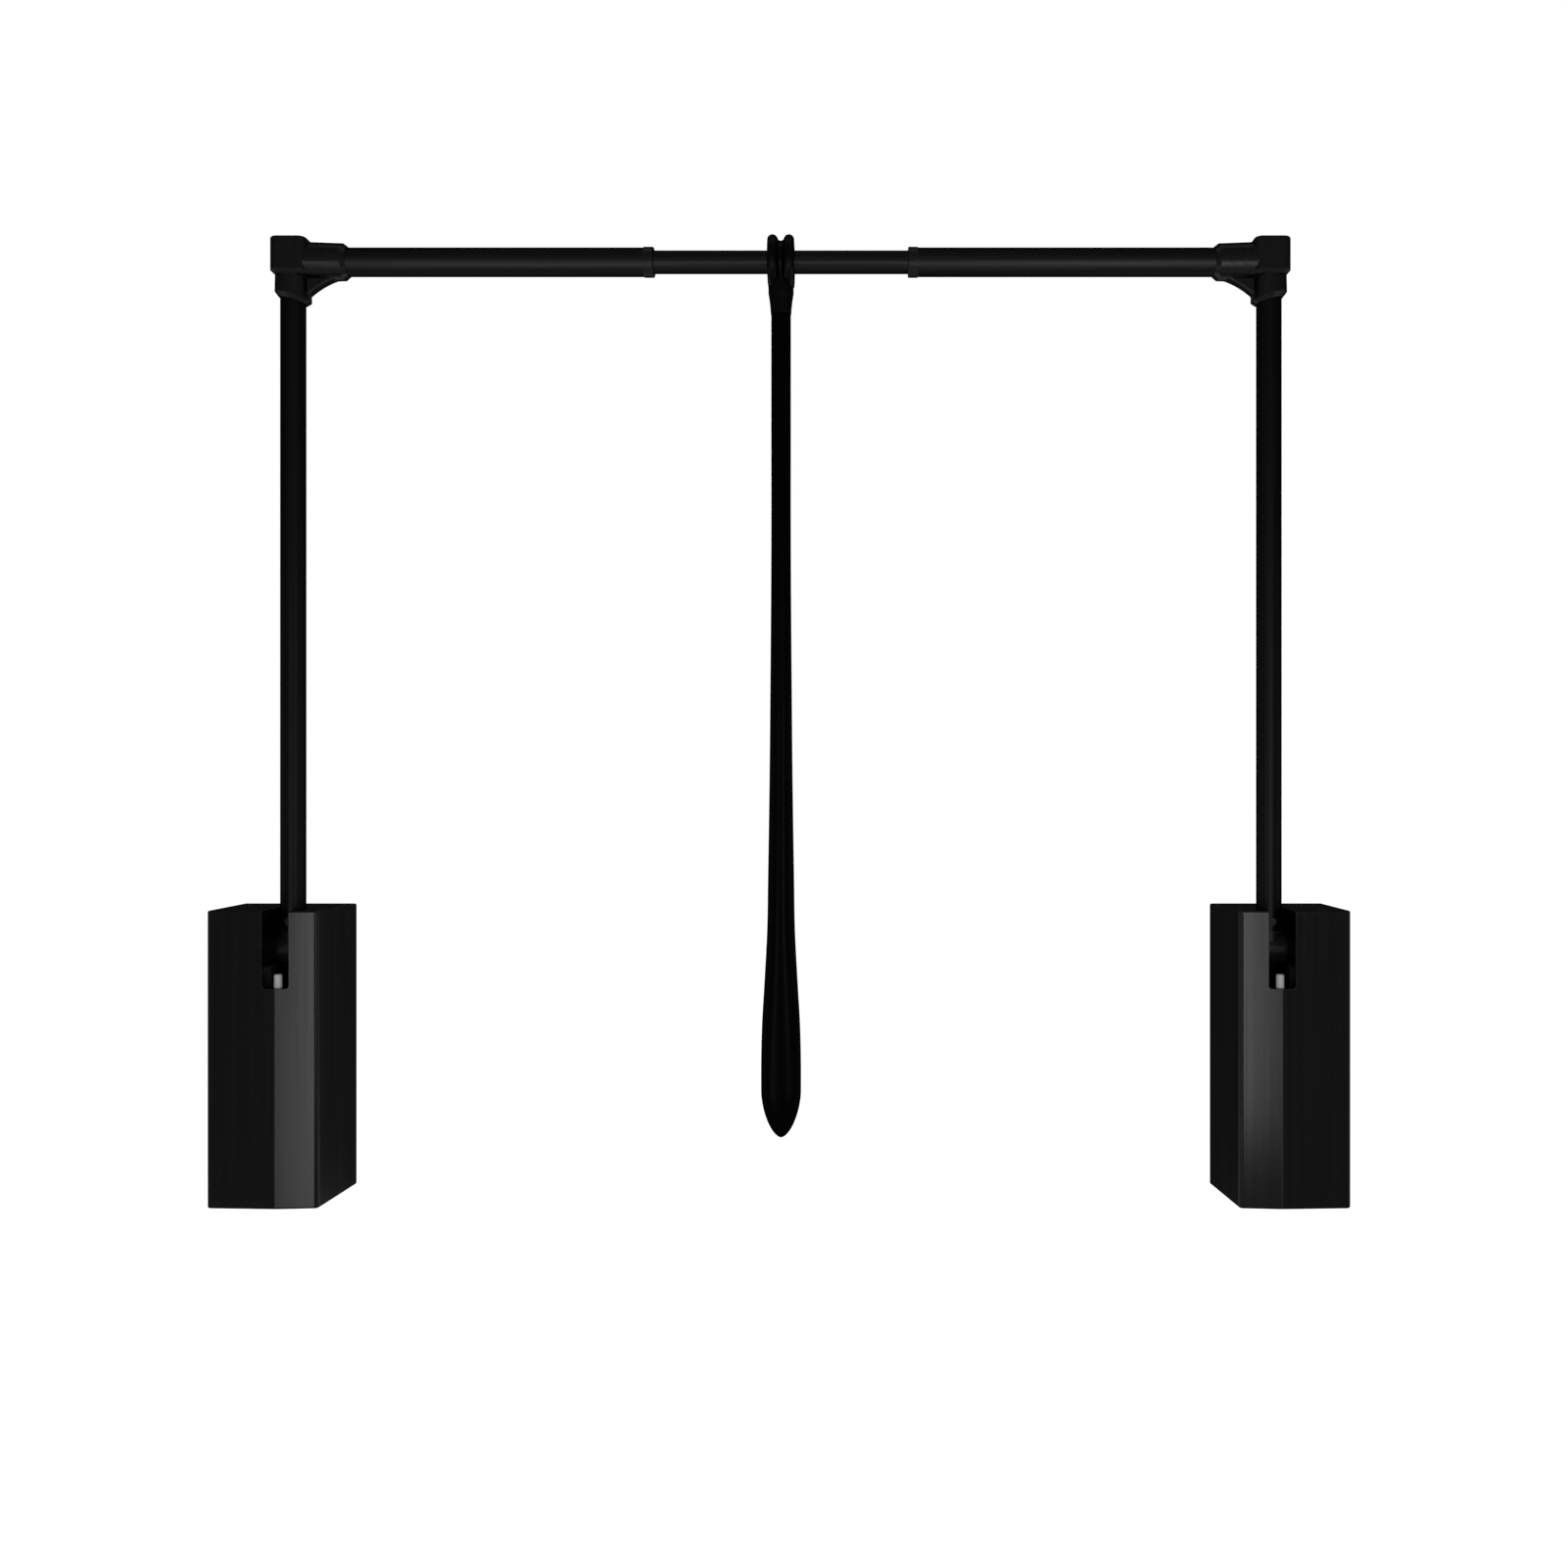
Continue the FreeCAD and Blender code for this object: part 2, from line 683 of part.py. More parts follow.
def elbow_cap():
    """Plug that closes the top of the corner."""
    top = rod_z + elbow_top
    disc = along_z(cap_r, top, rod_z + cap_top, arm_x)
    disc = disc.makeFillet(cap_round, flat_edges(disc, rod_z + cap_top))
    return disc.fuse(along_z(cap_stem_r, top - cap_stem, rod_z + cap_top - cap_round, arm_x)).removeSplitter()


def elbow_screws():
    """A button-headed screw along the rod into the sleeve's plug, and a small one behind into the arm."""
    seat_x = arm_x - hub_half + head_recess
    face_x = seat_x - rod_screw_head
    head = along_x(rod_screw_head_r, face_x, seat_x, z=rod_z)
    head = head.makeFillet(rod_screw_head_round, upright_edges(head, face_x))
    tip_x = arm_x + sleeve_stop + rod_screw_depth
    rod_screw = head.fuse(along_x(rod_screw_r, seat_x - 1, tip_x, z=rod_z))
    z = rod_z - arm_screw_drop
    head = along_y(arm_screw_head_r, elbow_top_r, elbow_top_r + arm_screw_head, arm_x, z)
    arm_screw = head.fuse(along_y(arm_screw_r, arm_r - arm_wall, elbow_top_r + 1, arm_x, z))
    return Part.makeCompound([rod_screw.removeSplitter(), arm_screw.removeSplitter()])


# Telescopic rod


def rail_sleeve():
    """Outer tube of the telescopic rod."""
    return tube_along_x(sleeve_r, sleeve_r - sleeve_wall, arm_x + sleeve_stop, sleeve_end_x, rod_z)


def sleeve_plug():
    """Plug in the outer end of the sleeve, which takes the corner's screw."""
    start = arm_x + sleeve_stop
    return tube_along_x(sleeve_r - sleeve_wall - seat, rod_screw_r + seat, start, start + plug_length, rod_z)


def sleeve_end_ring():
    """Guide ring: a collar over the end of the sleeve, a lip, and a bush inside for the inner tube."""
    lip_end = sleeve_end_x + ring_lip
    outer = tube_along_x(ring_r, sleeve_r + seat, sleeve_end_x - ring_cover, sleeve_end_x, rod_z)
    lip = along_x(ring_r, sleeve_end_x, lip_end, z=rod_z)
    lip = lip.makeChamfer(ring_chamfer, upright_edges(lip, lip_end))
    bush = along_x(sleeve_r - sleeve_wall - seat, sleeve_end_x - ring_depth, sleeve_end_x, z=rod_z)
    bore = along_x(tube_r + running, sleeve_end_x - ring_depth - past, lip_end + past, z=rod_z)
    return lip.fuse([outer, bush]).cut(bore).removeSplitter()


def inner_tube():
    """Middle tube, which slides in both sleeves and carries the handle's collar."""
    start = middle_x - tube_half_length
    return tube_along_x(tube_r, tube_r - tube_wall, start, middle_x + tube_half_length, rod_z)


def inner_tube_guides():
    """Cups on the ends of the inner tube, which fill the sleeves and keep the tube from pulling out."""
    end = middle_x - tube_half_length
    cup = along_x(sleeve_r - sleeve_wall - running, end - guide_cap, end + guide_length, z=rod_z)
    cup = cup.cut(along_x(tube_r + seat, end, end + guide_length + past, z=rod_z))
    return Part.makeCompound([cup, mirrored(cup)])


# Pull handle


def bead_edges(side):
    """Outline of one bead of the collar, from its outer face over the crown to the groove."""
    def at(x, radius):
        return Vector(middle_x + side * x, 0, rod_z + radius)

    bead = arc(at(collar_half, bead_side_r), at(bead_x, bead_r), at(groove_edge_x, groove_edge_r))
    face = Part.LineSegment(at(collar_half, bead_side_r), at(collar_half, tube_r + running)).toShape()
    return [face, bead]


def collar_spool():
    """Double-beaded spool round the inner tube, with a round groove between the beads."""
    bore_z = rod_z + tube_r + running
    left_end = Vector(middle_x - collar_half, 0, bore_z)
    right_end = Vector(middle_x + collar_half, 0, bore_z)
    bore = Part.LineSegment(left_end, right_end).toShape()
    left_edge = Vector(middle_x - groove_edge_x, 0, rod_z + groove_edge_r)
    right_edge = Vector(middle_x + groove_edge_x, 0, rod_z + groove_edge_r)
    groove = arc(left_edge, Vector(middle_x, 0, rod_z + groove_r), right_edge)
    outline = Part.__sortEdges__(bead_edges(-1) + bead_edges(1) + [bore, groove])
    return turned(Part.Wire(outline), Vector(0, 0, rod_z), X)


def handle_place(radius, down):
    """A point beside the handle's axis, in the plane of the rod."""
    return Vector(middle_x + radius, 0, rod_z - down)


def collar_neck():
    """Neck under the spool, drawn in to the width of the handle's rod."""
    start = handle_place(neck_r, neck_straight_end)
    end = handle_place(neck_end_r, neck_end)
    side = smooth_line([start, handle_place(neck_taper_r, neck_taper), end])
    top = handle_place(0, tube_r)
    upper = Part.makePolygon([top, handle_place(neck_r, tube_r), start])
    lower = Part.makePolygon([end, handle_place(0, neck_end), top])
    return turned(Part.Wire(upper.Edges + [side] + lower.Edges), top, Z)


def collar_screw_places():
    """Where the heads of the four collar screws sit: two over the tube and two beside the tenon."""
    centre = Vector(middle_x, 0, rod_z)
    places = []
    for screw in (upper_screw, lower_screw):
        places.append(centre + screw)
        places.append(centre + Vector(-screw.x, screw.y, screw.z))
    return places


def collar_halves():
    """Spool and neck, bored for the tube and the handle's tenon and parted into a front and a rear half."""
    whole = collar_spool().fuse(collar_neck()).removeSplitter()
    cutters = [
        along_x(tube_r + running, middle_x - 2 * collar_half, middle_x + 2 * collar_half, z=rod_z),
        along_z(tenon_r + seat, rod_z - neck_end - past, rod_z - tenon_top, middle_x),
    ]
    for p in collar_screw_places():
        cutters.append(along_y(collar_screw_r + seat, collar_screw_tip_y - head_recess, p.y + 1, p.x, p.z))
        cutters.append(along_y(collar_screw_head_r + screw_clearance, p.y, 2 * bead_r, p.x, p.z))
    whole = whole.cut(cutters)
    front = block(0, overall_width, -far, 0, rod_z - far, rod_z + far)
    rear = block(0, overall_width, 0, far, rod_z - far, rod_z + far)
    return whole.common(front), whole.common(rear)


def collar_screws():
    """Four small screws from behind, which hold the two halves of the collar together."""
    screws = []
    for p in collar_screw_places():
        head = along_y(collar_screw_head_r, p.y, p.y + collar_screw_head, p.x, p.z)
        shank = along_y(collar_screw_r, collar_screw_tip_y, p.y + 1, p.x, p.z)
        screws.append(head.fuse(shank).removeSplitter())
    return Part.makeCompound(screws)


def grip_pin_hole():
    reach = 2 * grip_start_r
    return along_y(grip_pin_r + seat, -reach, reach, middle_x, rod_z - grip_pin_at)


def handle_rod():
    """Slender round rod that swells slowly towards the grip, with a tenon at each end."""
    swell = [(pull_r, neck_end), (pull_r, 245.0), (9.5, 375.0), (10.3, 461.0), (grip_start_r, grip_start)]
    side = smooth_line([handle_place(radius, down) for radius, down in swell])
    top = handle_place(0, neck_end)
    start = Part.makePolygon([top, handle_place(pull_r, neck_end)])
    end = Part.makePolygon([handle_place(grip_start_r, grip_start), handle_place(0, grip_start), top])
    rod = turned(Part.Wire(start.Edges + [side] + end.Edges), top, Z)
    grip_z = rod_z - grip_start
    upper = along_z(tenon_r, rod_z - neck_end - past, rod_z - tenon_top - tenon_gap, middle_x)
    lower = along_z(grip_tenon_r, grip_z - grip_tenon, grip_z + past, middle_x)
    rod = rod.fuse([upper, lower]).removeSplitter()
    for p in collar_screw_places():
        rod = rod.cut(along_y(collar_screw_r + seat, collar_screw_tip_y - 1, p.y + 1, p.x, p.z))
    return rod.cut(grip_pin_hole())


def oval(half_width, half_thick, down):
    """One cross section of the grip."""
    centre = Vector(middle_x, 0, rod_z - down)
    if half_width > half_thick:
        curve = Part.Ellipse(centre, half_width, half_thick)
    else:
        curve = Part.Circle(centre, Z, half_width)
    return Part.Wire([curve.toShape()])


def grip_tip():
    """Tapering round end of the grip: a quarter of a superellipse, turned and then flattened."""
    length = grip_end - grip_wide_at
    steps = 8
    side = []
    for i in range(steps + 1):
        turn = math.radians(90 * i / steps)
        out = abs(math.cos(turn)) ** (2 / grip_tip_power)
        down = abs(math.sin(turn)) ** (2 / grip_tip_power)
        side.append(Vector(grip_half_width * out, 0, -length * down))
    side[-1] = Vector(0, 0, -length)
    curve = Part.BSplineCurve()
    curve.interpolate(Points=side, InitialTangent=-Z, FinalTangent=-X)
    flat = Part.makePolygon([side[-1], Vector(0, 0, 0), side[0]])
    tip = turned(Part.Wire(flat.Edges + [curve.toShape()]), Vector(0, 0, 0), Z)
    flatten = FreeCAD.Matrix()
    flatten.scale(1, grip_half_thick / grip_half_width, 1)
    tip = tip.transformGeometry(flatten)
    tip.translate(Vector(middle_x, 0, rod_z - grip_wide_at))
    return tip


def handle_grip():
    """Paddle grip: round where it meets the rod, wide and flat lower down, with a rounded tip."""
    sections = [
        (grip_start_r, grip_start_r, grip_start),
        (12.3, 11.3, 590.0),
        (14.4, 10.6, 632.0),
        (16.9, 9.7, 676.0),
        (grip_half_width, 8.9, 710.0),
        (grip_half_width, grip_half_thick, grip_wide_at),
    ]
    paddle = Part.makeLoft([oval(*section) for section in sections], True)
    grip = paddle.fuse(grip_tip()).removeSplitter()
    grip_z = rod_z - grip_start
    socket = along_z(grip_tenon_r + seat, grip_z - grip_tenon - tenon_gap, grip_z + past, middle_x)
    return grip.cut(socket).cut(grip_pin_hole())


def grip_pin():
    """Cross pin that holds the grip on the rod's tenon."""
    return along_y(grip_pin_r, -grip_pin_half, grip_pin_half, middle_x, rod_z - grip_pin_at)


# The whole object


def mirrored(shape):
    return shape.mirror(Vector(middle_x, 0, 0), X)


def side_pieces():
    base_half, cover_half = box_halves()
    return {
        "base_shell": base_shell(base_half),
        "cover_shell": cover_shell(cover_half),
        "cover_screws": cover_screws(),
        "backing_plate": backing_plate(),
        "axle": axle(),
        "axle_clip": axle_clip(),
        "axle_bushes": axle_bushes(),
        "arm_knuckle": arm_knuckle(),
        "cam_follower": cam_follower(),
        "gas_spring_rod": gas_spring_rod(),
        "gas_spring_body": gas_spring_body(),
        "spring_bracket": spring_bracket(),
        "spring_nut": spring_nut(),
        "spring_saddle": spring_saddle(),
        "stop_peg": stop_peg(),
        "arm_tube": arm_tube(),
        "arm_rivet": arm_rivet(),
        "corner_elbow": corner_elbow(),
        "elbow_cap": elbow_cap(),
        "elbow_screws": elbow_screws(),
        "rail_sleeve": rail_sleeve(),
        "sleeve_plug": sleeve_plug(),
        "sleeve_end_ring": sleeve_end_ring(),
    }


def middle_pieces():
    collar_front, collar_rear = collar_halves()
    return {
        "inner_tube": inner_tube(),
        "inner_tube_guides": inner_tube_guides(),
        "collar_front": collar_front,
        "collar_rear": collar_rear,
        "collar_screws": collar_screws(),
        "handle_rod": handle_rod(),
        "handle_grip": handle_grip(),
        "grip_pin": grip_pin(),
    }


def all_pieces():
    pieces = {}
    for name, shape in side_pieces().items():
        pieces["left_" + name] = shape
        pieces["right_" + name] = mirrored(shape)
    pieces.update(middle_pieces())
    return pieces


os.makedirs("parts", exist_ok=True)
for node, shape in all_pieces().items():
    valid = "valid" if shape.isValid() else "NOT VALID"
    print(f"{node:26s} {len(shape.Solids)} solid(s) {shape.Volume / 1000:9.2f} cm3  {valid}")
    shape.exportStep(f"parts/{node}.step")
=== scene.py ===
# %% [markdown]
# # A pull-down closet rod in a white studio
# Two boxes stand on the side walls of a wardrobe. An arm swings out of the slot in each box, the arms
# carry a telescopic rail, and a long handle in the middle pulls the rail down to the user.
# The solids come from CAD, in metres and already in place. This lesson sets up the studio, gives every
# piece the finish of the real thing, and models the few forms that are nicer as one flowing surface.

# %% Load the frame
import json
import math

import bpy
import numpy as np
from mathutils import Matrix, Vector


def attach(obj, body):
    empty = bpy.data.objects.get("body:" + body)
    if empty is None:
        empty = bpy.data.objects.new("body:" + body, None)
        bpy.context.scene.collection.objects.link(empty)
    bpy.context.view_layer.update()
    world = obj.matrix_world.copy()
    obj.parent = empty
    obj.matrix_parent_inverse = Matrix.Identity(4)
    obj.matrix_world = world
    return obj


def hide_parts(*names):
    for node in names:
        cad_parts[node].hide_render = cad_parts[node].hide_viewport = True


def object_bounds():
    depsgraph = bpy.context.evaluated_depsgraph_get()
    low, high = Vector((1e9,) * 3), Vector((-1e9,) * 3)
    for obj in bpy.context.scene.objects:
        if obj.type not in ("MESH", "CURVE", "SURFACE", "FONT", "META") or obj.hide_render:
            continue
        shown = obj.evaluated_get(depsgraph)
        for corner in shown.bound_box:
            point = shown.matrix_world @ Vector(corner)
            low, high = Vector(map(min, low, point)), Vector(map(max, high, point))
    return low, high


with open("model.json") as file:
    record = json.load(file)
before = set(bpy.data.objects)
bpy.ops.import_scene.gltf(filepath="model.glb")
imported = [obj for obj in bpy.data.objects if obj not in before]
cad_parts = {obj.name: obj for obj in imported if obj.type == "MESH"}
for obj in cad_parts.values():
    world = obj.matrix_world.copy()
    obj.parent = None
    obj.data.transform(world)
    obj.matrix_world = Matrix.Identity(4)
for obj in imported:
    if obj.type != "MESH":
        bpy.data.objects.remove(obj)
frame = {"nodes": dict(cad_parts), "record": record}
cad_low, cad_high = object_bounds()
print("CAD box", [round(v, 4) for v in cad_low], [round(v, 4) for v in cad_high])

# %% [markdown]
# ## Named places
# Pieces that are made here sit on CAD pieces, so their places come from the frame: the middle and the
# bottom from the CAD box, the rail from the axis that the handle swings on, and the arm from its hinge.

# %% Places on the rod
mm = 0.001
joints = frame["record"]["behaviour"]["joints"]
hinges = {joint["name"]: joint["pos_m"] for joint in joints if "pos_m" in joint}
middle_x = (cad_low.x + cad_high.x) / 2
rod_z = hinges["handle_swing"][2]
arm_x = hinges["left_arm_swing"][0]
box_bottom_z = cad_low.z
print("middle of the rod at x =", round(middle_x, 4), "rail at z =", round(rod_z, 4))

# %% [markdown]
# ## Camera
# The picture is taken from in front and level, so upright edges stay upright. The camera stands a little
# to the right of the middle, because more is seen of the left box's inner side than of the right one's.
# A shifted lens brings the rod back to the middle of the picture without turning the camera.

# %% Camera
camera_side = 0.064
camera_distance = 1.3695
camera_height = 0.237
framing_offset = 0.0026
camera_data = bpy.data.cameras.new("front_camera")
camera_data.sensor_width = 36.0
camera_data.lens = 35.5
reach_per_metre = camera_data.lens / camera_data.sensor_width / camera_distance
camera_data.shift_x = (framing_offset - camera_side) * reach_per_metre
camera = bpy.data.objects.new("front_camera", camera_data)
camera.location = (middle_x + camera_side, -camera_distance, camera_height)
camera.rotation_euler = (math.radians(90), 0, 0)
scene = bpy.context.scene
scene.collection.objects.link(camera)
scene.camera = camera
scene.view_settings.view_transform = "Standard"
print("camera", [round(v, 3) for v in camera.location], "shift", round(camera_data.shift_x, 4))

# %% [markdown]
# ## A short way to write node trees
# A material is a small graph of nodes. Two helpers keep the later cells short: one adds a node and fills
# in its sockets, where a value may be a number or another node's output, and one adds a sum.

# %% Nodes and sums


def add_node(tree, kind, values=None, **settings):
    """Adds a node; `values` maps socket names to numbers or to output sockets that are linked in."""
    node = tree.nodes.new(kind)
    for name, value in settings.items():
        setattr(node, name, value)
    for name, value in (values or {}).items():
        if isinstance(value, bpy.types.NodeSocket):
            tree.links.new(value, node.inputs[name])
        else:
            node.inputs[name].default_value = value
    return node


def add_math(tree, operation, first, second=0.0, clamp=False):
    """The result of one sum; each side is a number or an output socket."""
    values = {0: first, 1: second}
    return add_node(tree, "ShaderNodeMath", values, operation=operation, use_clamp=clamp).outputs[0]


print("node and sum helpers ready")

# %% [markdown]
# Two things come up again and again: going from one colour to another by a mask, and stretching a value
# to a new range. The Mix node has sockets for every kind of data under the same names, so its colours are
# found by number.

# %% Colours and ranges
mix_first_colour = 6
mix_second_colour = 7
mix_colour_result = 2


def add_colour_mix(tree, mask, first, second):
    """Goes from the first colour to the second as the mask goes from 0 to 1."""
    values = {"Factor": mask, mix_first_colour: first, mix_second_colour: second}
    return add_node(tree, "ShaderNodeMix", values, data_type="RGBA").outputs[mix_colour_result]


def add_range(tree, value, low, high, from_low=0.0, from_high=1.0):
    """Stretches a value that runs between the last two numbers so that it runs from low to high."""
    values = {"Value": value, "From Min": from_low, "From Max": from_high, "To Min": low, "To Max": high}
    return add_node(tree, "ShaderNodeMapRange", values).outputs["Result"]


def grey(level):
    """A neutral colour."""
    return (level, level, level, 1)


print("black is", grey(0), "and white is", grey(1))

# %% [markdown]
# An effect that several finishes share is a node group: a tree of its own with named inputs and outputs,
# which is built once and placed in each material with its own values. This helper makes an empty one.

# %% Empty group


def new_group(name, inputs, outputs):
    """An empty shader node group with float inputs (name, default) and float outputs."""
    group = bpy.data.node_groups.new(name, "ShaderNodeTree")
    for label, default in inputs:
        socket = group.interface.new_socket(label, in_out="INPUT", socket_type="NodeSocketFloat")
        socket.default_value = default
    for label in outputs:
        group.interface.new_socket(label, in_out="OUTPUT", socket_type="NodeSocketFloat")
    return group, group.nodes.new("NodeGroupInput").outputs, group.nodes.new("NodeGroupOutput").inputs


print("group helper ready")

# %% [markdown]
# ## Grain that several finishes share
# A moulded or powder-coated surface is never one even tone: close up it is a field of tiny hills, and its
# depth of colour drifts a little from place to place. Both come from noise on object coordinates, which
# stay fixed to the piece when it moves. The group gives the hills as a height and the drift as a mask.

# %% Grain group


def make_grain_group():
    """Height: fine noise at `Scale` per metre. Drift: broad noise, in patches about as wide as a palm."""
    group, given, result = new_group("surface_grain", [("Scale", 900.0)], ["Height", "Drift"])
    place = group.nodes.new("ShaderNodeTexCoord").outputs["Object"]
    fine = {"Vector": place, "Scale": given["Scale"], "Detail": 3.0, "Roughness": 0.55}
    broad = {"Vector": place, "Scale": 14.0, "Detail": 3.0, "Roughness": 0.6}
    hills = add_node(group, "ShaderNodeTexNoise", fine).outputs["Fac"]
    drift = add_node(group, "ShaderNodeTexNoise", broad).outputs["Fac"]
    group.links.new(hills, result["Height"])
    group.links.new(drift, result["Drift"])
    return group


grain_group = make_grain_group()
print("group", grain_group.name)

# %% [markdown]
# ## Fine lines along a piece
# Tubes are drawn through a die and the boxes are finished lengthwise, so their gloss is broken up by very
# fine lines along the piece. Noise that is squeezed across and stretched along gives such lines: the
# group multiplies the object coordinates by a different scale on each axis before it reads the noise.
# Noise seldom comes near 0 or 1, so its middle part is stretched to the whole range.

# %% Drawn lines group
faintest_line = 0.3
clearest_line = 0.7


def make_lines_group():
    """Mask: noise at coordinates times (`X`, `Y`, `Z`); a small scale stretches the lines that way."""
    group, given, result = new_group("drawn_lines", [("X", 700.0), ("Y", 700.0), ("Z", 6.0)], ["Mask"])
    place = group.nodes.new("ShaderNodeTexCoord").outputs["Object"]
    scale = add_node(group, "ShaderNodeCombineXYZ", {axis: given[axis] for axis in "XYZ"}).outputs[0]
    squeezed = add_node(group, "ShaderNodeVectorMath", {0: place, 1: scale}, operation="MULTIPLY")
    noise = {"Vector": squeezed.outputs[0], "Scale": 1.0, "Detail": 4.0, "Roughness": 0.6}
    lines = add_node(group, "ShaderNodeTexNoise", noise).outputs["Fac"]
    clear = add_range(group, lines, 0.0, 1.0, faintest_line, clearest_line)
    group.links.new(clear, result["Mask"])
    return group


lines_group = make_lines_group()
print("group", lines_group.name)

# %% [markdown]
# ## Worn edges and painted edge highlight
# Hands and hangers polish the edges of a fitting first, and small rounded edges catch the light. The lighter
# grey along the
# edges stands for both: it is partly rubbed finish and partly a painted highlight. The Bevel node gives the
# normal as if the edge were rounded; where it differs from the true normal there is an edge. Noise breaks
# the line up, so that the lighter line comes and goes along the edge as real rubbing does.

# %% Worn edges with painted highlight group


def make_wear_and_highlight_group():
    """Mask: one minus the cosine between the rounded and the true normal, broken up by noise."""
    group, given, result = new_group("edge_wear_and_highlight", [("Width", 0.0016), ("Strength", 1.0)], ["Mask"])
    rounded = add_node(group, "ShaderNodeBevel", {"Radius": given["Width"]}, samples=4).outputs[0]
    true_normal = group.nodes.new("ShaderNodeNewGeometry").outputs["Normal"]
    cosine = add_node(group, "ShaderNodeVectorMath", {0: rounded, 1: true_normal}, operation="DOT_PRODUCT")
    turned = add_math(group, "SUBTRACT", 1.0, cosine.outputs["Value"], clamp=True)
    place = group.nodes.new("ShaderNodeTexCoord").outputs["Object"]
    patches = {"Vector": place, "Scale": 160.0, "Detail": 4.0}
    broken = add_node(group, "ShaderNodeTexNoise", patches).outputs["Fac"]
    patchy = add_math(group, "MULTIPLY", turned, broken)
    group.links.new(add_math(group, "MULTIPLY", patchy, given["Strength"], clamp=True), result["Mask"])
    return group


wear_and_highlight_group = make_wear_and_highlight_group()
print("group", wear_and_highlight_group.name)

# %% [markdown]
# ## Settled dust
# Black fittings show dust first, and only where something can lie: on faces that look up. The mask is the
# upward part of the normal, kept to steep values and thinned out by noise, so tops get a faint bloom.

# %% Dust group
lying_power = 6.0


def make_dust_group():
    """Mask: upward part of the normal to a power, times speckled noise, times `Amount`."""
    group, given, result = new_group("settled_dust", [("Amount", 0.1)], ["Mask"])
    normal = group.nodes.new("ShaderNodeNewGeometry").outputs["Normal"]
    upward = add_node(group, "ShaderNodeSeparateXYZ", {"Vector": normal}).outputs["Z"]
    lying = add_math(group, "POWER", add_math(group, "MAXIMUM", upward, 0.0), lying_power)
    place = group.nodes.new("ShaderNodeTexCoord").outputs["Object"]
    speckle = {"Vector": place, "Scale": 420.0, "Detail": 5.0}
    specks = add_node(group, "ShaderNodeTexNoise", speckle).outputs["Fac"]
    thin = add_math(group, "MULTIPLY", lying, specks)
    group.links.new(add_math(group, "MULTIPLY", thin, given["Amount"], clamp=True), result["Mask"])
    return group


dust_group = make_dust_group()
print("group", dust_group.name)

# %% [markdown]
# ## How a black finish is built
# Nearly all of the rod is black, and what tells one black from another is its gloss. Each black finish is
# a very dark body with a thin coat on top. Moulded grain scatters light at flat angles, so the coat is
# faded out there with Layer Weight: faces seen edge-on stay black instead of turning milky.
# The fine lines and the grain work on the coat, because that is where the eye finds them on black.

# %% Black finish
# Grey of the lighter edges: partly rubbed finish, partly a painted edge highlight.
worn_and_highlight_grey = 0.06
dust_colour = (0.22, 0.21, 0.2, 1)
body_roughness = (0.45, 0.65)
bump_strength = 0.6
facing_blend = 0.5
streak_share = 0.18


def black_finish(name, tone, gloss, gloss_roughness, fade, lines, grain, depth, wear_and_highlight, dust):
    """Dark body with drifting tone, lighter edges (partly rubbed, partly a painted highlight) and dust,
    under a coat that fades at flat angles.
    """
    material = bpy.data.materials.new(name)
    material.use_nodes = True
    tree = material.node_tree
    shader = tree.nodes["Principled BSDF"].inputs
    shader["Specular IOR Level"].default_value = 0.0
    shader["Coat Roughness"].default_value = gloss_roughness
    surface = add_node(tree, "ShaderNodeGroup", {"Scale": grain}, node_tree=grain_group).outputs
    streak = add_node(tree, "ShaderNodeGroup", dict(zip("XYZ", lines)), node_tree=lines_group).outputs
    edge = add_node(tree, "ShaderNodeGroup", {"Strength": wear_and_highlight}, node_tree=wear_and_highlight_group).outputs
    bloom = add_node(tree, "ShaderNodeGroup", {"Amount": dust}, node_tree=dust_group).outputs
    colour = add_colour_mix(tree, surface["Drift"], grey(tone[0]), grey(tone[1]))
    # Lighter edges: partly rubbed finish, partly a painted highlight.
    colour = add_colour_mix(tree, edge["Mask"], colour, grey(worn_and_highlight_grey))
    colour = add_colour_mix(tree, bloom["Mask"], colour, dust_colour)
    tree.links.new(colour, shader["Base Color"])
    tree.links.new(add_range(tree, surface["Drift"], *body_roughness), shader["Roughness"])
    bump = {"Height": surface["Height"], "Distance": depth, "Strength": bump_strength}
    tree.links.new(add_node(tree, "ShaderNodeBump", bump).outputs[0], shader["Normal"])
    facing = add_node(tree, "ShaderNodeLayerWeight", {"Blend": facing_blend}).outputs["Facing"]
    front_on = add_math(tree, "POWER", add_math(tree, "SUBTRACT", 1.0, facing), fade)
    lined = add_range(tree, streak["Mask"], gloss * (1 - streak_share), gloss * (1 + streak_share))
    tree.links.new(add_math(tree, "MULTIPLY", front_on, lined), shader["Coat Weight"])
    return material


lines_upright = (190.0, 190.0, 4.0)
lines_level = (4.0, 320.0, 320.0)
no_lines = (300.0, 300.0, 300.0)
finishes = {}
print("black finish ready")

# %% [markdown]
# ## The boxes
# The boxes are satin black with a faint lengthwise texture. In the picture their inner front facets are
# grey and the rest is nearly black, which is the work of the lamps: the finish is the same all round.

# %% Box finish
# Full-strength lighter edges: partly rubbed, partly a painted highlight that lets the faces read from every
# side.
finishes["housing"] = black_finish(
    "satin_black_box", tone=(0.0005, 0.0009), gloss=0.14, gloss_roughness=0.2, fade=1.7,
    lines=lines_upright, grain=1400.0, depth=0.0003, wear_and_highlight=1.0, dust=0.01,
)
print("box finish", finishes["housing"].name)

# %% [markdown]
# ## The tubes
# The tubes are powder coated. The level ones show a broad soft highlight along their middle, the arms
# hardly any, and the thin inner tube a narrower one, because hangers and the sleeves have polished it.

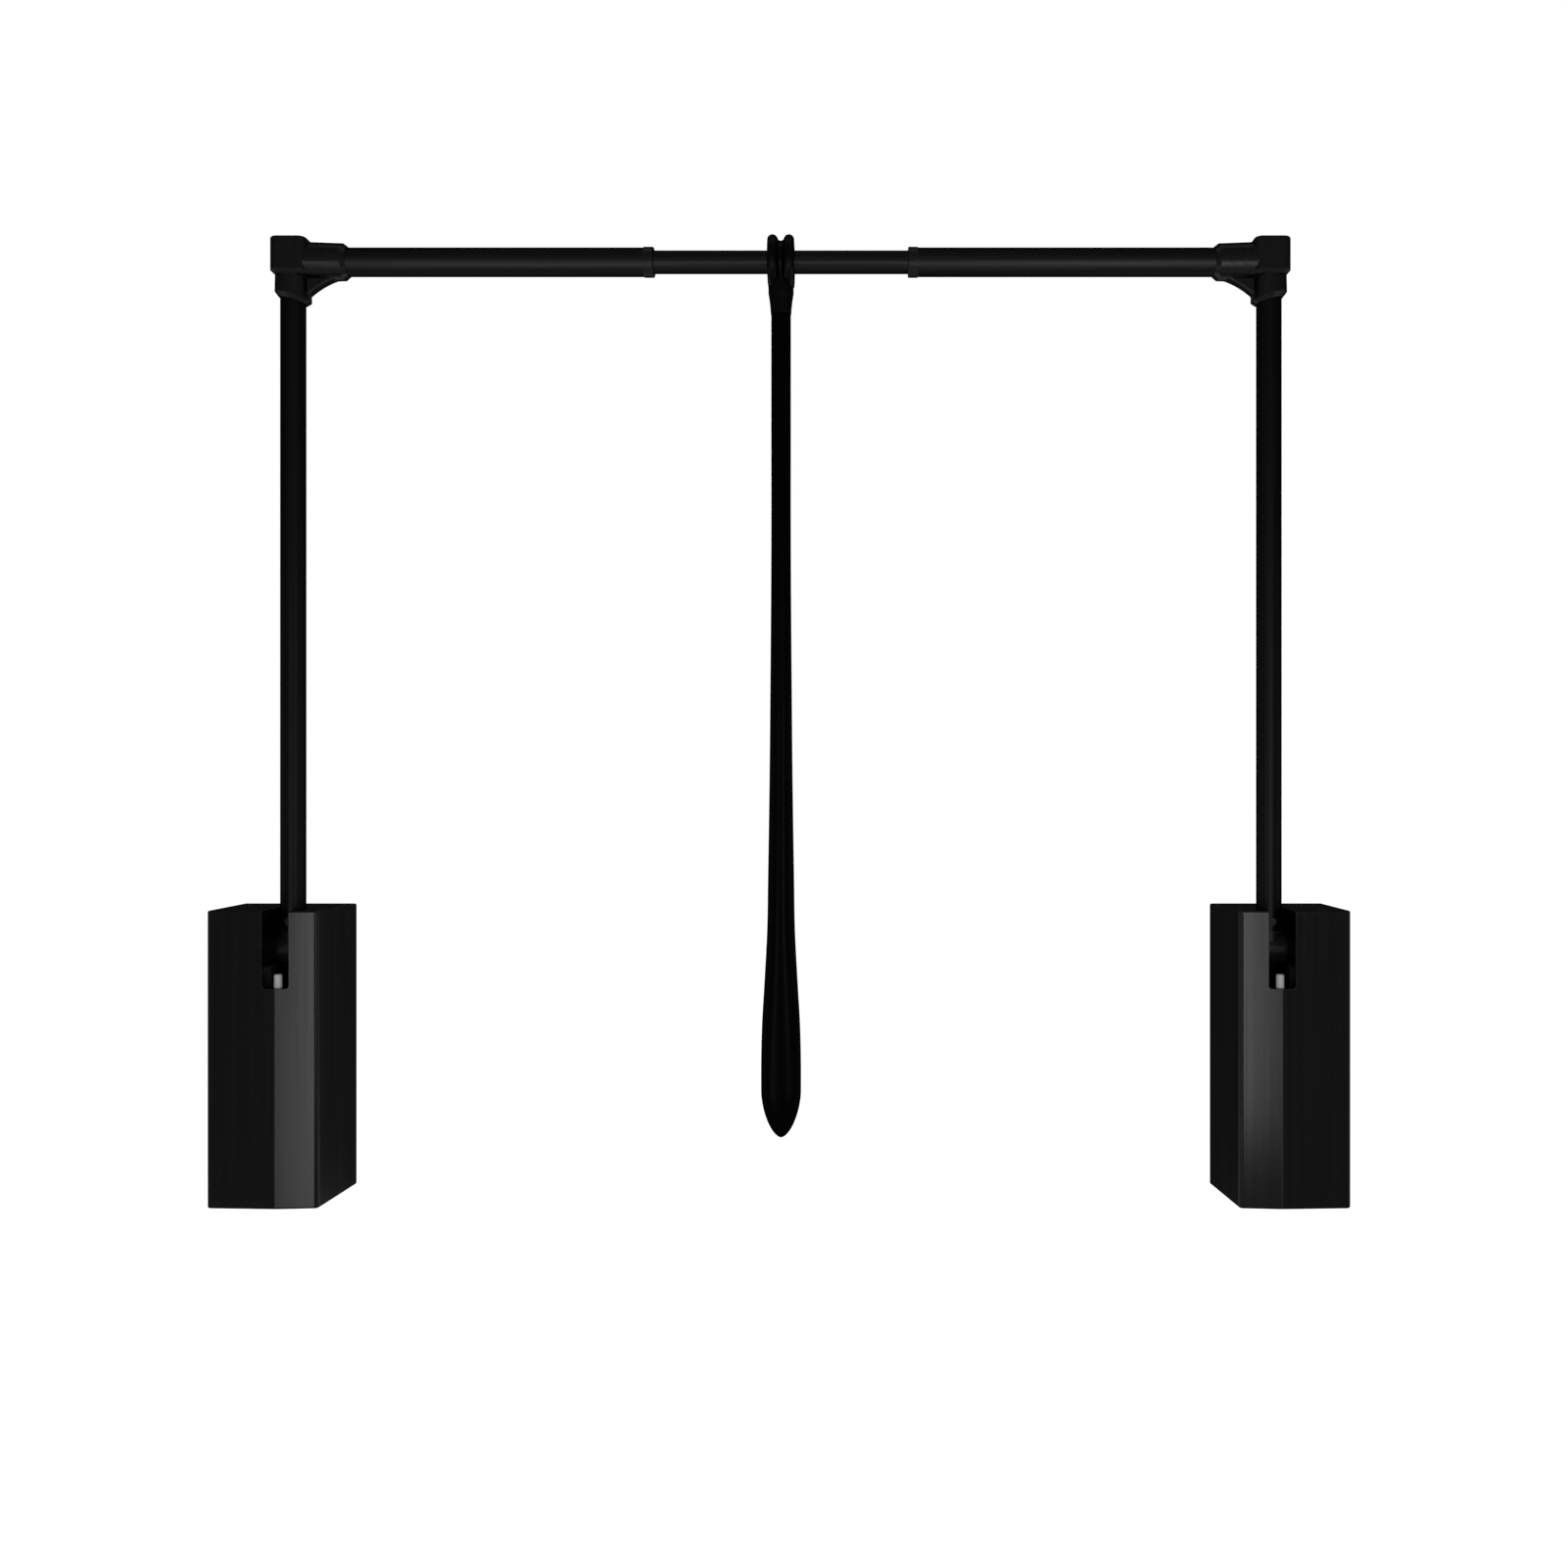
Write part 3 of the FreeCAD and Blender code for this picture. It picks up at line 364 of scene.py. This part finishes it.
# %% Tube finishes
finishes["tube_coat"] = black_finish(
    "satin_black_sleeve", tone=(0.0004, 0.0008), gloss=0.21, gloss_roughness=0.4, fade=4.4,
    lines=lines_level, grain=700.0, depth=0.0002, wear_and_highlight=0.3, dust=0.01,
)
finishes["polished_tube"] = black_finish(
    "polished_black_tube", tone=(0.0004, 0.0008), gloss=0.24, gloss_roughness=0.24, fade=4.4,
    lines=lines_level, grain=900.0, depth=0.0001, wear_and_highlight=0.3, dust=0.01,
)
finishes["arm_tube"] = black_finish(
    "satin_black_arm", tone=(0.0006, 0.0010), gloss=0.07, gloss_roughness=0.4, fade=3.0,
    lines=lines_upright, grain=700.0, depth=0.0002, wear_and_highlight=0.3, dust=0.01,
)
print("tube finishes ready")

# %% [markdown]
# ## Corners, guides and handle
# The corners are a harder, glossier moulding, so they catch a crisp line of light. The guides at the
# sleeve ends are duller. The handle is a soft matt black that swallows nearly all light, and the collar
# that it hangs on has a little more sheen, because it rubs on the tube.

# %% Moulding finishes
finishes["elbow_moulding"] = black_finish(
    "satin_black_corner", tone=(0.0008, 0.0012), gloss=0.18, gloss_roughness=0.24, fade=2.5,
    lines=no_lines, grain=1000.0, depth=0.0002, wear_and_highlight=0.4, dust=0.01,
)
finishes["guide_moulding"] = black_finish(
    "black_guide", tone=(0.001, 0.0015), gloss=0.2, gloss_roughness=0.3, fade=2.2,
    lines=no_lines, grain=900.0, depth=0.0002, wear_and_highlight=0.3, dust=0.01,
)
finishes["handle_moulding"] = black_finish(
    "matt_black_handle", tone=(0.0002, 0.0004), gloss=0.015, gloss_roughness=0.3, fade=1.2,
    lines=no_lines, grain=1200.0, depth=0.0002, wear_and_highlight=0.1, dust=0.005,
)
finishes["collar_moulding"] = black_finish(
    "satin_black_collar", tone=(0.0005, 0.0008), gloss=0.05, gloss_roughness=0.25, fade=1.5,
    lines=no_lines, grain=1200.0, depth=0.0002, wear_and_highlight=0.2, dust=0.005,
)
print("moulding finishes ready")

# %% [markdown]
# ## Inside the boxes
# Little of the lift shows: the arm's cast knuckle behind the slot, and the grey buffer that the arm comes
# to rest on. The rest is finished all the same, because the part is also looked at with its boxes open.

# %% Inner finishes
finishes["casting"] = black_finish(
    "black_casting", tone=(0.003, 0.005), gloss=0.1, gloss_roughness=0.4, fade=1.5,
    lines=no_lines, grain=500.0, depth=0.0004, wear_and_highlight=0.5, dust=0.02,
)
finishes["gas_tube"] = black_finish(
    "painted_pressure_tube", tone=(0.006, 0.009), gloss=0.6, gloss_roughness=0.15, fade=1.5,
    lines=lines_upright, grain=300.0, depth=0.0001, wear_and_highlight=0.3, dust=0.02,
)
finishes["nylon"] = black_finish(
    "dark_nylon", tone=(0.03, 0.045), gloss=0.2, gloss_roughness=0.4, fade=1.5,
    lines=no_lines, grain=800.0, depth=0.0002, wear_and_highlight=0.0, dust=0.0,
)
finishes["screw"] = black_finish(
    "black_plated_screw", tone=(0.004, 0.008), gloss=0.5, gloss_roughness=0.2, fade=1.0,
    lines=no_lines, grain=600.0, depth=0.0001, wear_and_highlight=1.0, dust=0.01,
)
finishes["stop_peg"] = black_finish(
    "grey_buffer", tone=(0.2, 0.26), gloss=0.2, gloss_roughness=0.3, fade=1.0,
    lines=no_lines, grain=1500.0, depth=0.0001, wear_and_highlight=0.0, dust=0.0,
)
print(len(finishes), "black and dark finishes")

# %% [markdown]
# ## Plated steel
# The plate, axle and bracket inside the boxes are zinc plated: a metal with cloudy patches. The piston
# rod is ground and plated, so it is bright and has only faint rings. Both are plain metals whose tone
# follows the patches or the rings, and whose roughness drifts slowly over the piece.

# %% Steel finishes
zinc_patches = (120.0, 120.0, 120.0)
grinding_rings = (4.0, 4.0, 2500.0)


def steel_finish(name, dull, bright, smoothest, roughest, lines):
    """Metal whose tone follows fine lines and whose roughness drifts between two values."""
    material = bpy.data.materials.new(name)
    material.use_nodes = True
    tree = material.node_tree
    shader = tree.nodes["Principled BSDF"].inputs
    shader["Metallic"].default_value = 1.0
    surface = add_node(tree, "ShaderNodeGroup", node_tree=grain_group).outputs
    streak = add_node(tree, "ShaderNodeGroup", dict(zip("XYZ", lines)), node_tree=lines_group).outputs
    tree.links.new(add_colour_mix(tree, streak["Mask"], grey(dull), grey(bright)), shader["Base Color"])
    tree.links.new(add_range(tree, surface["Drift"], smoothest, roughest), shader["Roughness"])
    return material


finishes["zinc_steel"] = steel_finish(
    "zinc_plated_steel", dull=0.26, bright=0.42, smoothest=0.3, roughest=0.55, lines=zinc_patches,
)
finishes["piston_rod"] = steel_finish(
    "ground_piston_rod", dull=0.5, bright=0.62, smoothest=0.08, roughest=0.2, lines=grinding_rings,
)
print("steel finishes ready")

# %% [markdown]
# ## Dressing the CAD pieces
# Every CAD piece names a material slot in its record, and most take the finish of that name. The arms,
# the inner tube, the collar and the rivets share a slot with a neighbour and differ from it in gloss, so
# they are named one by one.

# %% Dress the CAD pieces
own_finish = {
    "left_arm_tube": "arm_tube",
    "right_arm_tube": "arm_tube",
    "inner_tube": "polished_tube",
    "collar_front": "collar_moulding",
    "collar_rear": "collar_moulding",
    "left_arm_rivet": "casting",
    "right_arm_rivet": "casting",
}
for subpart in frame["record"]["subparts"]:
    piece = frame["nodes"][subpart["node"]]
    piece.data.materials.clear()
    piece.data.materials.append(finishes[own_finish.get(subpart["node"], subpart["material_slot"])])
print(len(frame["nodes"]), "CAD pieces dressed")

# %% [markdown]
# ## Skins from a grid of rings
# The new pieces are skins over a grid: rings of points that follow one another along the piece, closed at
# both ends by a point. All corner numbers come from two index arrays, so there is no loop over points.
# The signed volume tells whether the faces look outwards, and the whole skin is flipped if they don't.

# %% Closed skin


def closed_skin(grid, start, end):
    """Points and faces of a skin: grid[ring, step] holds points, `start` and `end` close its two ends."""
    rings, around = grid.shape[:2]
    points = np.concatenate([grid.reshape(-1, 3), [start, end]])
    ring, step = np.meshgrid(np.arange(rings - 1), np.arange(around), indexing="ij")
    ahead = (step + 1) % around
    corners = [ring * around + step, ring * around + ahead]
    corners += [(ring + 1) * around + ahead, (ring + 1) * around + step]
    quads = np.stack(corners, axis=-1).reshape(-1, 4)
    first = np.arange(around)
    after = (first + 1) % around
    last = (rings - 1) * around
    start_fan = np.stack([np.full(around, rings * around), after, first], axis=-1)
    end_fan = np.stack([np.full(around, rings * around + 1), last + first, last + after], axis=-1)
    fans = np.concatenate([start_fan, end_fan])
    triangles = np.concatenate([quads[:, [0, 1, 2]], quads[:, [0, 2, 3]], fans])
    a, b, c = (points[triangles[:, i]] - points[0] for i in range(3))
    if np.einsum("ij,ij->i", a, np.cross(b, c)).sum() < 0:
        quads = quads[:, ::-1]
        fans = fans[:, ::-1]
    return points, quads.tolist() + fans.tolist()


print("skin helper ready")

# %% [markdown]
# A piece may be made of several skins, such as a pair of screws. They become one mesh, which is shaded
# smooth except where two faces meet at a clear edge, and which rides on the body that carries it.

# %% Piece from skins
sharp_angle = math.radians(35)


def add_piece(name, skins, body, finish, nodes):
    """One object from several skins; it rides on `body` and stands for the CAD `nodes`."""
    points = np.concatenate([skin[0] for skin in skins])
    starts = np.cumsum([0] + [len(skin[0]) for skin in skins[:-1]])
    faces = [[corner + start for corner in face] for start, skin in zip(starts, skins) for face in skin[1]]
    mesh = bpy.data.meshes.new(name)
    mesh.from_pydata(points.tolist(), [], faces)
    mesh.polygons.foreach_set("use_smooth", np.ones(len(mesh.polygons), dtype=bool))
    mesh.set_sharp_from_angle(angle=sharp_angle)
    mesh.materials.append(finish)
    piece = bpy.data.objects.new(name, mesh)
    scene.collection.objects.link(piece)
    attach(piece, body)
    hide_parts(*nodes)
    print(name, len(points), "points", len(faces), "faces")


print("edges sharper than", round(math.degrees(sharp_angle)), "degrees stay sharp")

# %% [markdown]
# ## The pull handle
# The handle is one unbroken form: a slender round rod that swells slowly, flattens into a paddle and runs
# out in a rounded tip. It could be turned and then squashed with a lattice. As a formula it is simpler:
# an oval whose half width and half thickness are two smooth curves of the distance below the rail.

# %% Handle sections
stations = np.array([46, 150, 245, 375, 461, 548, 590, 632, 676, 710, 734]) * mm
half_widths = np.array([8.7, 8.7, 8.7, 9.5, 10.3, 11.6, 12.3, 14.4, 16.9, 17.7, 17.7]) * mm
half_thicks = np.array([8.7, 8.7, 8.7, 9.5, 10.3, 11.6, 11.3, 10.6, 9.7, 8.9, 8.4]) * mm
tip_length = 41 * mm
tip_power = 1.7


def flowing(values, at):
    """Smooth curve through the stations: Hermite cubics whose slopes are those of the neighbours."""
    slopes = np.gradient(values, stations)
    slopes[-1] = 0.0
    i = np.clip(np.searchsorted(stations, at, side="right") - 1, 0, len(stations) - 2)
    span = stations[i + 1] - stations[i]
    t = (at - stations[i]) / span
    rise = (1 + 2 * t) * (1 - t) ** 2 * values[i] + t * (1 - t) ** 2 * span * slopes[i]
    return rise + t ** 2 * (3 - 2 * t) * values[i + 1] + t ** 2 * (t - 1) * span * slopes[i + 1]


print("handle from", stations[0], "to", round(stations[-1] + tip_length, 3), "m below the rail")

# %% [markdown]
# The tip continues the paddle as a quarter of a superellipse, whose power below two makes it a little
# more pointed than a half round. Its rings are spaced by the angle, so they crowd where it curves most.

# %% Handle skin
rings_along_handle = 220
angles_in_tip = 28
steps_round_handle = 64


def handle_skin():
    """Ring at distance d: middle + (width(d) cos a, thickness(d) sin a, -d); the tip scales both to zero."""
    straight = np.linspace(stations[0], stations[-1], rings_along_handle)
    angle = np.linspace(0, math.pi / 2, angles_in_tip)[1:-1]
    narrowing = np.cos(angle) ** (2 / tip_power)
    tip = stations[-1] + tip_length * np.sin(angle) ** (2 / tip_power)
    down = np.concatenate([straight, tip])[:, None]
    wide = np.concatenate([flowing(half_widths, straight), half_widths[-1] * narrowing])[:, None]
    thick = np.concatenate([flowing(half_thicks, straight), half_thicks[-1] * narrowing])[:, None]
    around = np.linspace(0, 2 * math.pi, steps_round_handle, endpoint=False)[None, :]
    x = middle_x + wide * np.cos(around)
    y = thick * np.sin(around)
    grid = np.stack([x, y, rod_z - down + 0 * around], axis=-1)
    top = (middle_x, 0, rod_z - stations[0])
    bottom = (middle_x, 0, rod_z - stations[-1] - tip_length)
    return closed_skin(grid, top, bottom)


handle_nodes = ("handle_rod", "handle_grip", "grip_pin")
handle_finish = finishes["handle_moulding"]
add_piece("pull_handle", [handle_skin()], "handle", handle_finish, handle_nodes)

# %% [markdown]
# ## Screws
# The CAD screws are plain cylinders. Here they get what a real one has: a domed head with a socket and a
# thread. In polar coordinates both are short formulas. A hexagon and a plus sign have one distance from
# the axis in each direction, so rings can blend from the round rim to the outline of the socket.

# %% Socket outlines
steps_around = 96
turn = np.linspace(0, 2 * math.pi, steps_around, endpoint=False)
cross_corner = math.radians(15)
smallest_sine = 1e-6


def hexagon_socket(across):
    """Distance to a hexagon: half its width over the cosine of the angle to the nearest flat."""
    return across / 2 / np.cos((turn + math.pi / 6) % (math.pi / 3) - math.pi / 6)


def cross_socket(reach):
    """Distance to a plus sign: an arm's end or an arm's side, whichever a ray meets first."""
    folded = np.abs((turn + math.pi / 4) % (math.pi / 2) - math.pi / 4)
    side = reach * math.tan(cross_corner) / np.maximum(np.sin(folded), smallest_sine)
    return np.minimum(reach / np.cos(folded), side)


print("socket outlines with", steps_around, "steps around")

# %% [markdown]
# A thread is a radius that rises and falls along the shank and moves on by one pitch in each turn. It
# could be cut with a helix and a boolean, but as a radius over a grid it stays one clean closed skin,
# which also carries the head: rim, dome and socket are only more rings.

# %% Screw skin
rings_per_pitch = 4
thread_depth = 0.2
point_share = 0.2
dome_rings = 9
socket_taper = 0.9


def screw_skin(kind, seat, outward, length):
    """Rings along the axis: threaded shank, underside, rim, dome to the socket's outline, socket floor."""
    rings = int(rings_per_pitch * length / kind["pitch"])
    along = np.linspace(-length, 0, rings)[:, None]
    ridge = 1 - np.abs(2 * ((along / kind["pitch"] - turn / (2 * math.pi)) % 1) - 1)
    point = np.clip((along + length) / (2 * kind["shank_r"]), point_share, 1)
    shank = kind["shank_r"] * (1 - thread_depth + thread_depth * ridge) * point
    blend = np.linspace(0, 1, dome_rings)[:, None]
    rim = np.full((1, steps_around), kind["head_r"])
    dome = (1 - blend) * kind["head_r"] + blend * kind["socket"]
    socket_floor = socket_taper * kind["socket"][None, :]
    radius = np.concatenate([shank, rim, dome, socket_floor])
    dome_height = kind["rim"] + (kind["height"] - kind["rim"]) * np.sin(blend * math.pi / 2)
    deep = kind["height"] - kind["depth"]
    height = np.concatenate([along, [[0.0]], dome_height, [[deep]]])
    outward = np.array(outward, dtype=float)
    side = np.roll(outward, 1)
    across = np.cross(outward, side)
    flat = np.cos(turn)[:, None] * side + np.sin(turn)[:, None] * across
    grid = np.array(seat) + radius[..., None] * flat + height[..., None] * outward
    return closed_skin(grid, seat - length * outward, seat + deep * outward)


print("screw skins with", rings_per_pitch, "rings in each turn of the thread")

# %% [markdown]
# The kinds of screw differ only in their sizes. Button heads with a hexagon socket hold the corners on
# the rail, and small cross-headed ones hold the corners on the arms, the covers on the bases and the two
# halves of the collar. Each group of screws is one piece, as in the CAD model.

# %% Screw kinds
button_screw = {
    "head_r": 4.5 * mm, "height": 2.2 * mm, "rim": 0.5 * mm, "socket": hexagon_socket(3.2 * mm),
    "depth": 1.4 * mm, "shank_r": 2.5 * mm, "pitch": 1.0 * mm,
}
pan_screw = {
    "head_r": 3.5 * mm, "height": 1.8 * mm, "rim": 0.7 * mm, "socket": cross_socket(2.0 * mm),
    "depth": 1.1 * mm, "shank_r": 2.0 * mm, "pitch": 0.8 * mm,
}
flat_screw = {
    "head_r": 3.2 * mm, "height": 1.5 * mm, "rim": 1.1 * mm, "socket": cross_socket(1.8 * mm),
    "depth": 1.0 * mm, "shank_r": 1.6 * mm, "pitch": 0.8 * mm,
}
collar_screw = {
    "head_r": 2.4 * mm, "height": 1.8 * mm, "rim": 1.0 * mm, "socket": cross_socket(1.4 * mm),
    "depth": 1.0 * mm, "shank_r": 1.3 * mm, "pitch": 0.6 * mm,
}
print("four kinds of screw")

# %% [markdown]
# The screws sit where the CAD screws sit. The first corner screw runs along the rail from the corner's
# outer side, the second comes from behind into the arm, and two in each cover come from below, where
# their heads lie flush with the bottom of the box.

# %% Places of the side screws
corner_seat_x = 44.5 * mm
corner_screw_length = 46.5 * mm
arm_screw_y = 15.0 * mm
arm_screw_z = rod_z - 20.0 * mm
arm_screw_length = 5.2 * mm
cover_screw_x = 53.0 * mm
cover_screw_y = 22.0 * mm
cover_screw_length = 7.0 * mm
cover_seat_z = box_bottom_z + flat_screw["height"]
corner_screws = [
    (button_screw, (corner_seat_x, 0.0, rod_z), (-1, 0, 0), corner_screw_length),
    (pan_screw, (arm_x, arm_screw_y, arm_screw_z), (0, 1, 0), arm_screw_length),
]
cover_screws = [
    (flat_screw, (cover_screw_x, y, cover_seat_z), (0, 0, -1), cover_screw_length)
    for y in (-cover_screw_y, cover_screw_y)
]
print(len(corner_screws), "screws in each corner,", len(cover_screws), "in each cover")

# %% [markdown]
# The right side is the left side mirrored about the middle, so one list of places serves both: x and the
# x part of the direction change sign for the right. The thread is made anew there and not mirrored, so
# that every screw turns the same way.

# %% Screws of the two sides


def for_side(sign, screws):
    """The skins of a list of screws on the left side, or at the mirrored places on the right."""
    skins = []
    for kind, seat, outward, length in screws:
        x = seat[0] if sign > 0 else 2 * middle_x - seat[0]
        seat = np.array((x, seat[1], seat[2]))
        skins.append(screw_skin(kind, seat, np.array(outward) * (sign, 1, 1), length))
    return skins


black_screw = finishes["screw"]
for side, sign in (("left", 1), ("right", -1)):
    elbow_node = f"{side}_elbow_screws"
    cover_node = f"{side}_cover_screws"
    skins = for_side(sign, corner_screws)
    add_piece(f"{side}_corner_screws", skins, f"{side}_arm", black_screw, [elbow_node])
    skins = for_side(sign, cover_screws)
    add_piece(f"{side}_box_screws", skins, f"{side}_box", black_screw, [cover_node])

# %% [markdown]
# The collar is split into a front and a rear half. Two pairs of screws from behind pull them together
# round the tube, one pair above it and one below, and all four tips end at the same depth in the front.

# %% Screws of the collar
upper_seat = np.array((6.8, 8.0, 15.5)) * mm
lower_seat = np.array((8.2, 3.0, -22.0)) * mm
collar_tip_y = -6.0 * mm
rail_middle = np.array((middle_x, 0, rod_z))
backwards = np.array((0, 1, 0))
collar_skins = []
for seat in (upper_seat, lower_seat):
    for sign in (1, -1):
        place = rail_middle + seat * (sign, 1, 1)
        collar_skins.append(screw_skin(collar_screw, place, backwards, seat[1] - collar_tip_y))
add_piece("collar_cross_screws", collar_skins, "handle", black_screw, ["collar_screws"])

# %% [markdown]
# ## White room
# The picture has a plain white ground. The world is white where the camera looks and in what the pieces
# mirror, and softer for the light that it throws on the object, so that lamps can still model the form.

# %% World
world_light = 0.05
world = bpy.data.worlds.new("white_room")
world.use_nodes = True
scene.world = world


def seen_rays(tree):
    """1 for rays from the camera and for mirrored or refracted ones, 0 for the rest."""
    rays = tree.nodes.new("ShaderNodeLightPath").outputs
    seen = add_math(tree, "ADD", rays["Is Camera Ray"], rays["Is Glossy Ray"])
    return add_math(tree, "ADD", seen, rays["Is Transmission Ray"], clamp=True)


room = world.node_tree
room.nodes["Background"].inputs["Color"].default_value = grey(1.0)
level = add_range(room, seen_rays(room), world_light, 1.0)
room.links.new(level, room.nodes["Background"].inputs["Strength"])
print("world: white where it is seen,", world_light, "as light")

# %% [markdown]
# ## Floor
# The rod hangs on walls, so the floor lies well below it and only receives a soft shadow. It is pale
# grey paper that runs far back and throws little light up at the rod. A glow for the rays that see it
# makes up the rest to white, so it meets the white world without a horizon.

# %% Floor
floor_z = box_bottom_z - 0.5
floor_reach = 30.0
paper_tone = 0.7
seen_white = 1.01
floor_glow = seen_white - paper_tone * world_light
floor_mesh = bpy.data.meshes.new("pale_floor")
signs = np.array([(-1, -1), (1, -1), (1, 1), (-1, 1)])
corners = np.column_stack([signs * floor_reach, np.full(4, floor_z)])
floor_mesh.from_pydata(corners.tolist(), [], [(0, 1, 2, 3)])
floor = bpy.data.objects.new("pale_floor", floor_mesh)
scene.collection.objects.link(floor)
floor_material = bpy.data.materials.new("pale_floor")
floor_material.use_nodes = True
paper = floor_material.node_tree
paper_shader = paper.nodes["Principled BSDF"].inputs
paper_shader["Base Color"].default_value = grey(paper_tone)
paper_shader["Roughness"].default_value = 0.9
paper_shader["Specular IOR Level"].default_value = 0.0
paper_shader["Emission Color"].default_value = grey(1.0)
glow = add_math(paper, "MULTIPLY", seen_rays(paper), floor_glow)
paper.links.new(glow, paper_shader["Emission Strength"])
floor_mesh.materials.append(floor_material)
print("floor at z =", round(floor_z, 4), "glow", round(floor_glow, 4))

# %% [markdown]
# ## Lamps
# A glossy black piece shows what it mirrors, so each lamp stands where one kind of surface mirrors it.
# Two upright soft boxes meet the inner front facets of the boxes, which come up grey while the outer
# facets stay dark. A long strip at the height of the camera draws the highlight along the rail, and two
# small lamps at its ends put the crisp line on the corners.

# %% Front lamps
front_y = -1.05


def softbox(name, place, size, aim, radiance):
    """Lamp turned from `place` to `aim`, both from the middle; its power is radiance times 4 areas."""
    lamp = bpy.data.lights.new(name, "AREA")
    lamp.shape = "RECTANGLE"
    lamp.size = size[0]
    lamp.size_y = size[1]
    lamp.energy = radiance * 4 * size[0] * size[1]
    holder = bpy.data.objects.new(name, lamp)
    holder.location = (middle_x + place[0], place[1], place[2])
    towards = Vector(aim) - Vector(place)
    holder.rotation_euler = towards.to_track_quat("-Z", "Y").to_euler()
    holder.visible_camera = False
    scene.collection.objects.link(holder)
    print(name, "at", [round(v, 2) for v in holder.location], "radiance", radiance)


softbox(
    "left_softbox", place=(-0.52, front_y, -0.17), size=(0.17, 0.60),
    aim=(-0.52, 0, -0.17), radiance=14.5,
)
softbox(
    "right_softbox", place=(0.43, front_y, 0.01), size=(0.17, 0.58),
    aim=(0.43, 0, 0.01), radiance=15.5,
)
softbox(
    "rail_strip", place=(-0.02, front_y, 0.33), size=(1.42, 0.34),
    aim=(-0.02, 0, rod_z), radiance=1.8,
)
softbox(
    "left_corner_lamp", place=(-0.79, front_y, 0.33), size=(0.12, 0.18),
    aim=(-0.79, 0, rod_z), radiance=13.0,
)
softbox(
    "right_corner_lamp", place=(0.71, front_y, 0.33), size=(0.12, 0.18),
    aim=(0.71, 0, rod_z), radiance=25.0,
)

# %% [markdown]
# The rod is also looked at from the sides, from behind and from above, and black pieces there would turn
# into flat shapes with nothing to mirror. Large, weaker panels stand all round for those views. From the
# front they are seen only at flat angles, where the coats have faded out, so the front hardly changes.

# %% Panels all round
panel_light = 3.0
top_panel_share = 0.75
for side, sign in (("left", -1), ("right", 1)):
    softbox(
        f"{side}_back_panel", place=(sign * 0.85, 1.3, 0.0), size=(0.7, 1.2),
        aim=(sign * 0.3, 0, 0.2), radiance=panel_light,
    )
    softbox(
        f"{side}_side_panel", place=(sign * 1.5, 0.2, -0.05), size=(1.4, 1.1),
        aim=(0, 0.2, -0.05), radiance=panel_light,
    )
softbox(
    "back_rail_panel", place=(0, 1.3, 1.1), size=(1.4, 0.5),
    aim=(0, 0, rod_z), radiance=panel_light,
)
softbox(
    "top_panel", place=(0, 0.1, 1.9), size=(1.6, 0.7),
    aim=(0, 0, 0), radiance=panel_light * top_panel_share,
)

# %% [markdown]
# Seen from a little above, an upright face mirrors the floor. Two panels that lie just above the floor
# behind the rod, face up, let the sides and backs of the boxes differ in those views. The front view
# mirrors nothing that lies there.

# %% Low panels behind
low_panel_light = 5.0
low_panel_z = floor_z + 0.03
for side, sign in (("left", -1), ("right", 1)):
    softbox(
        f"{side}_low_panel", place=(sign, 1.15, low_panel_z), size=(1.3, 0.9),
        aim=(sign, 1.15, rod_z), radiance=low_panel_light,
    )
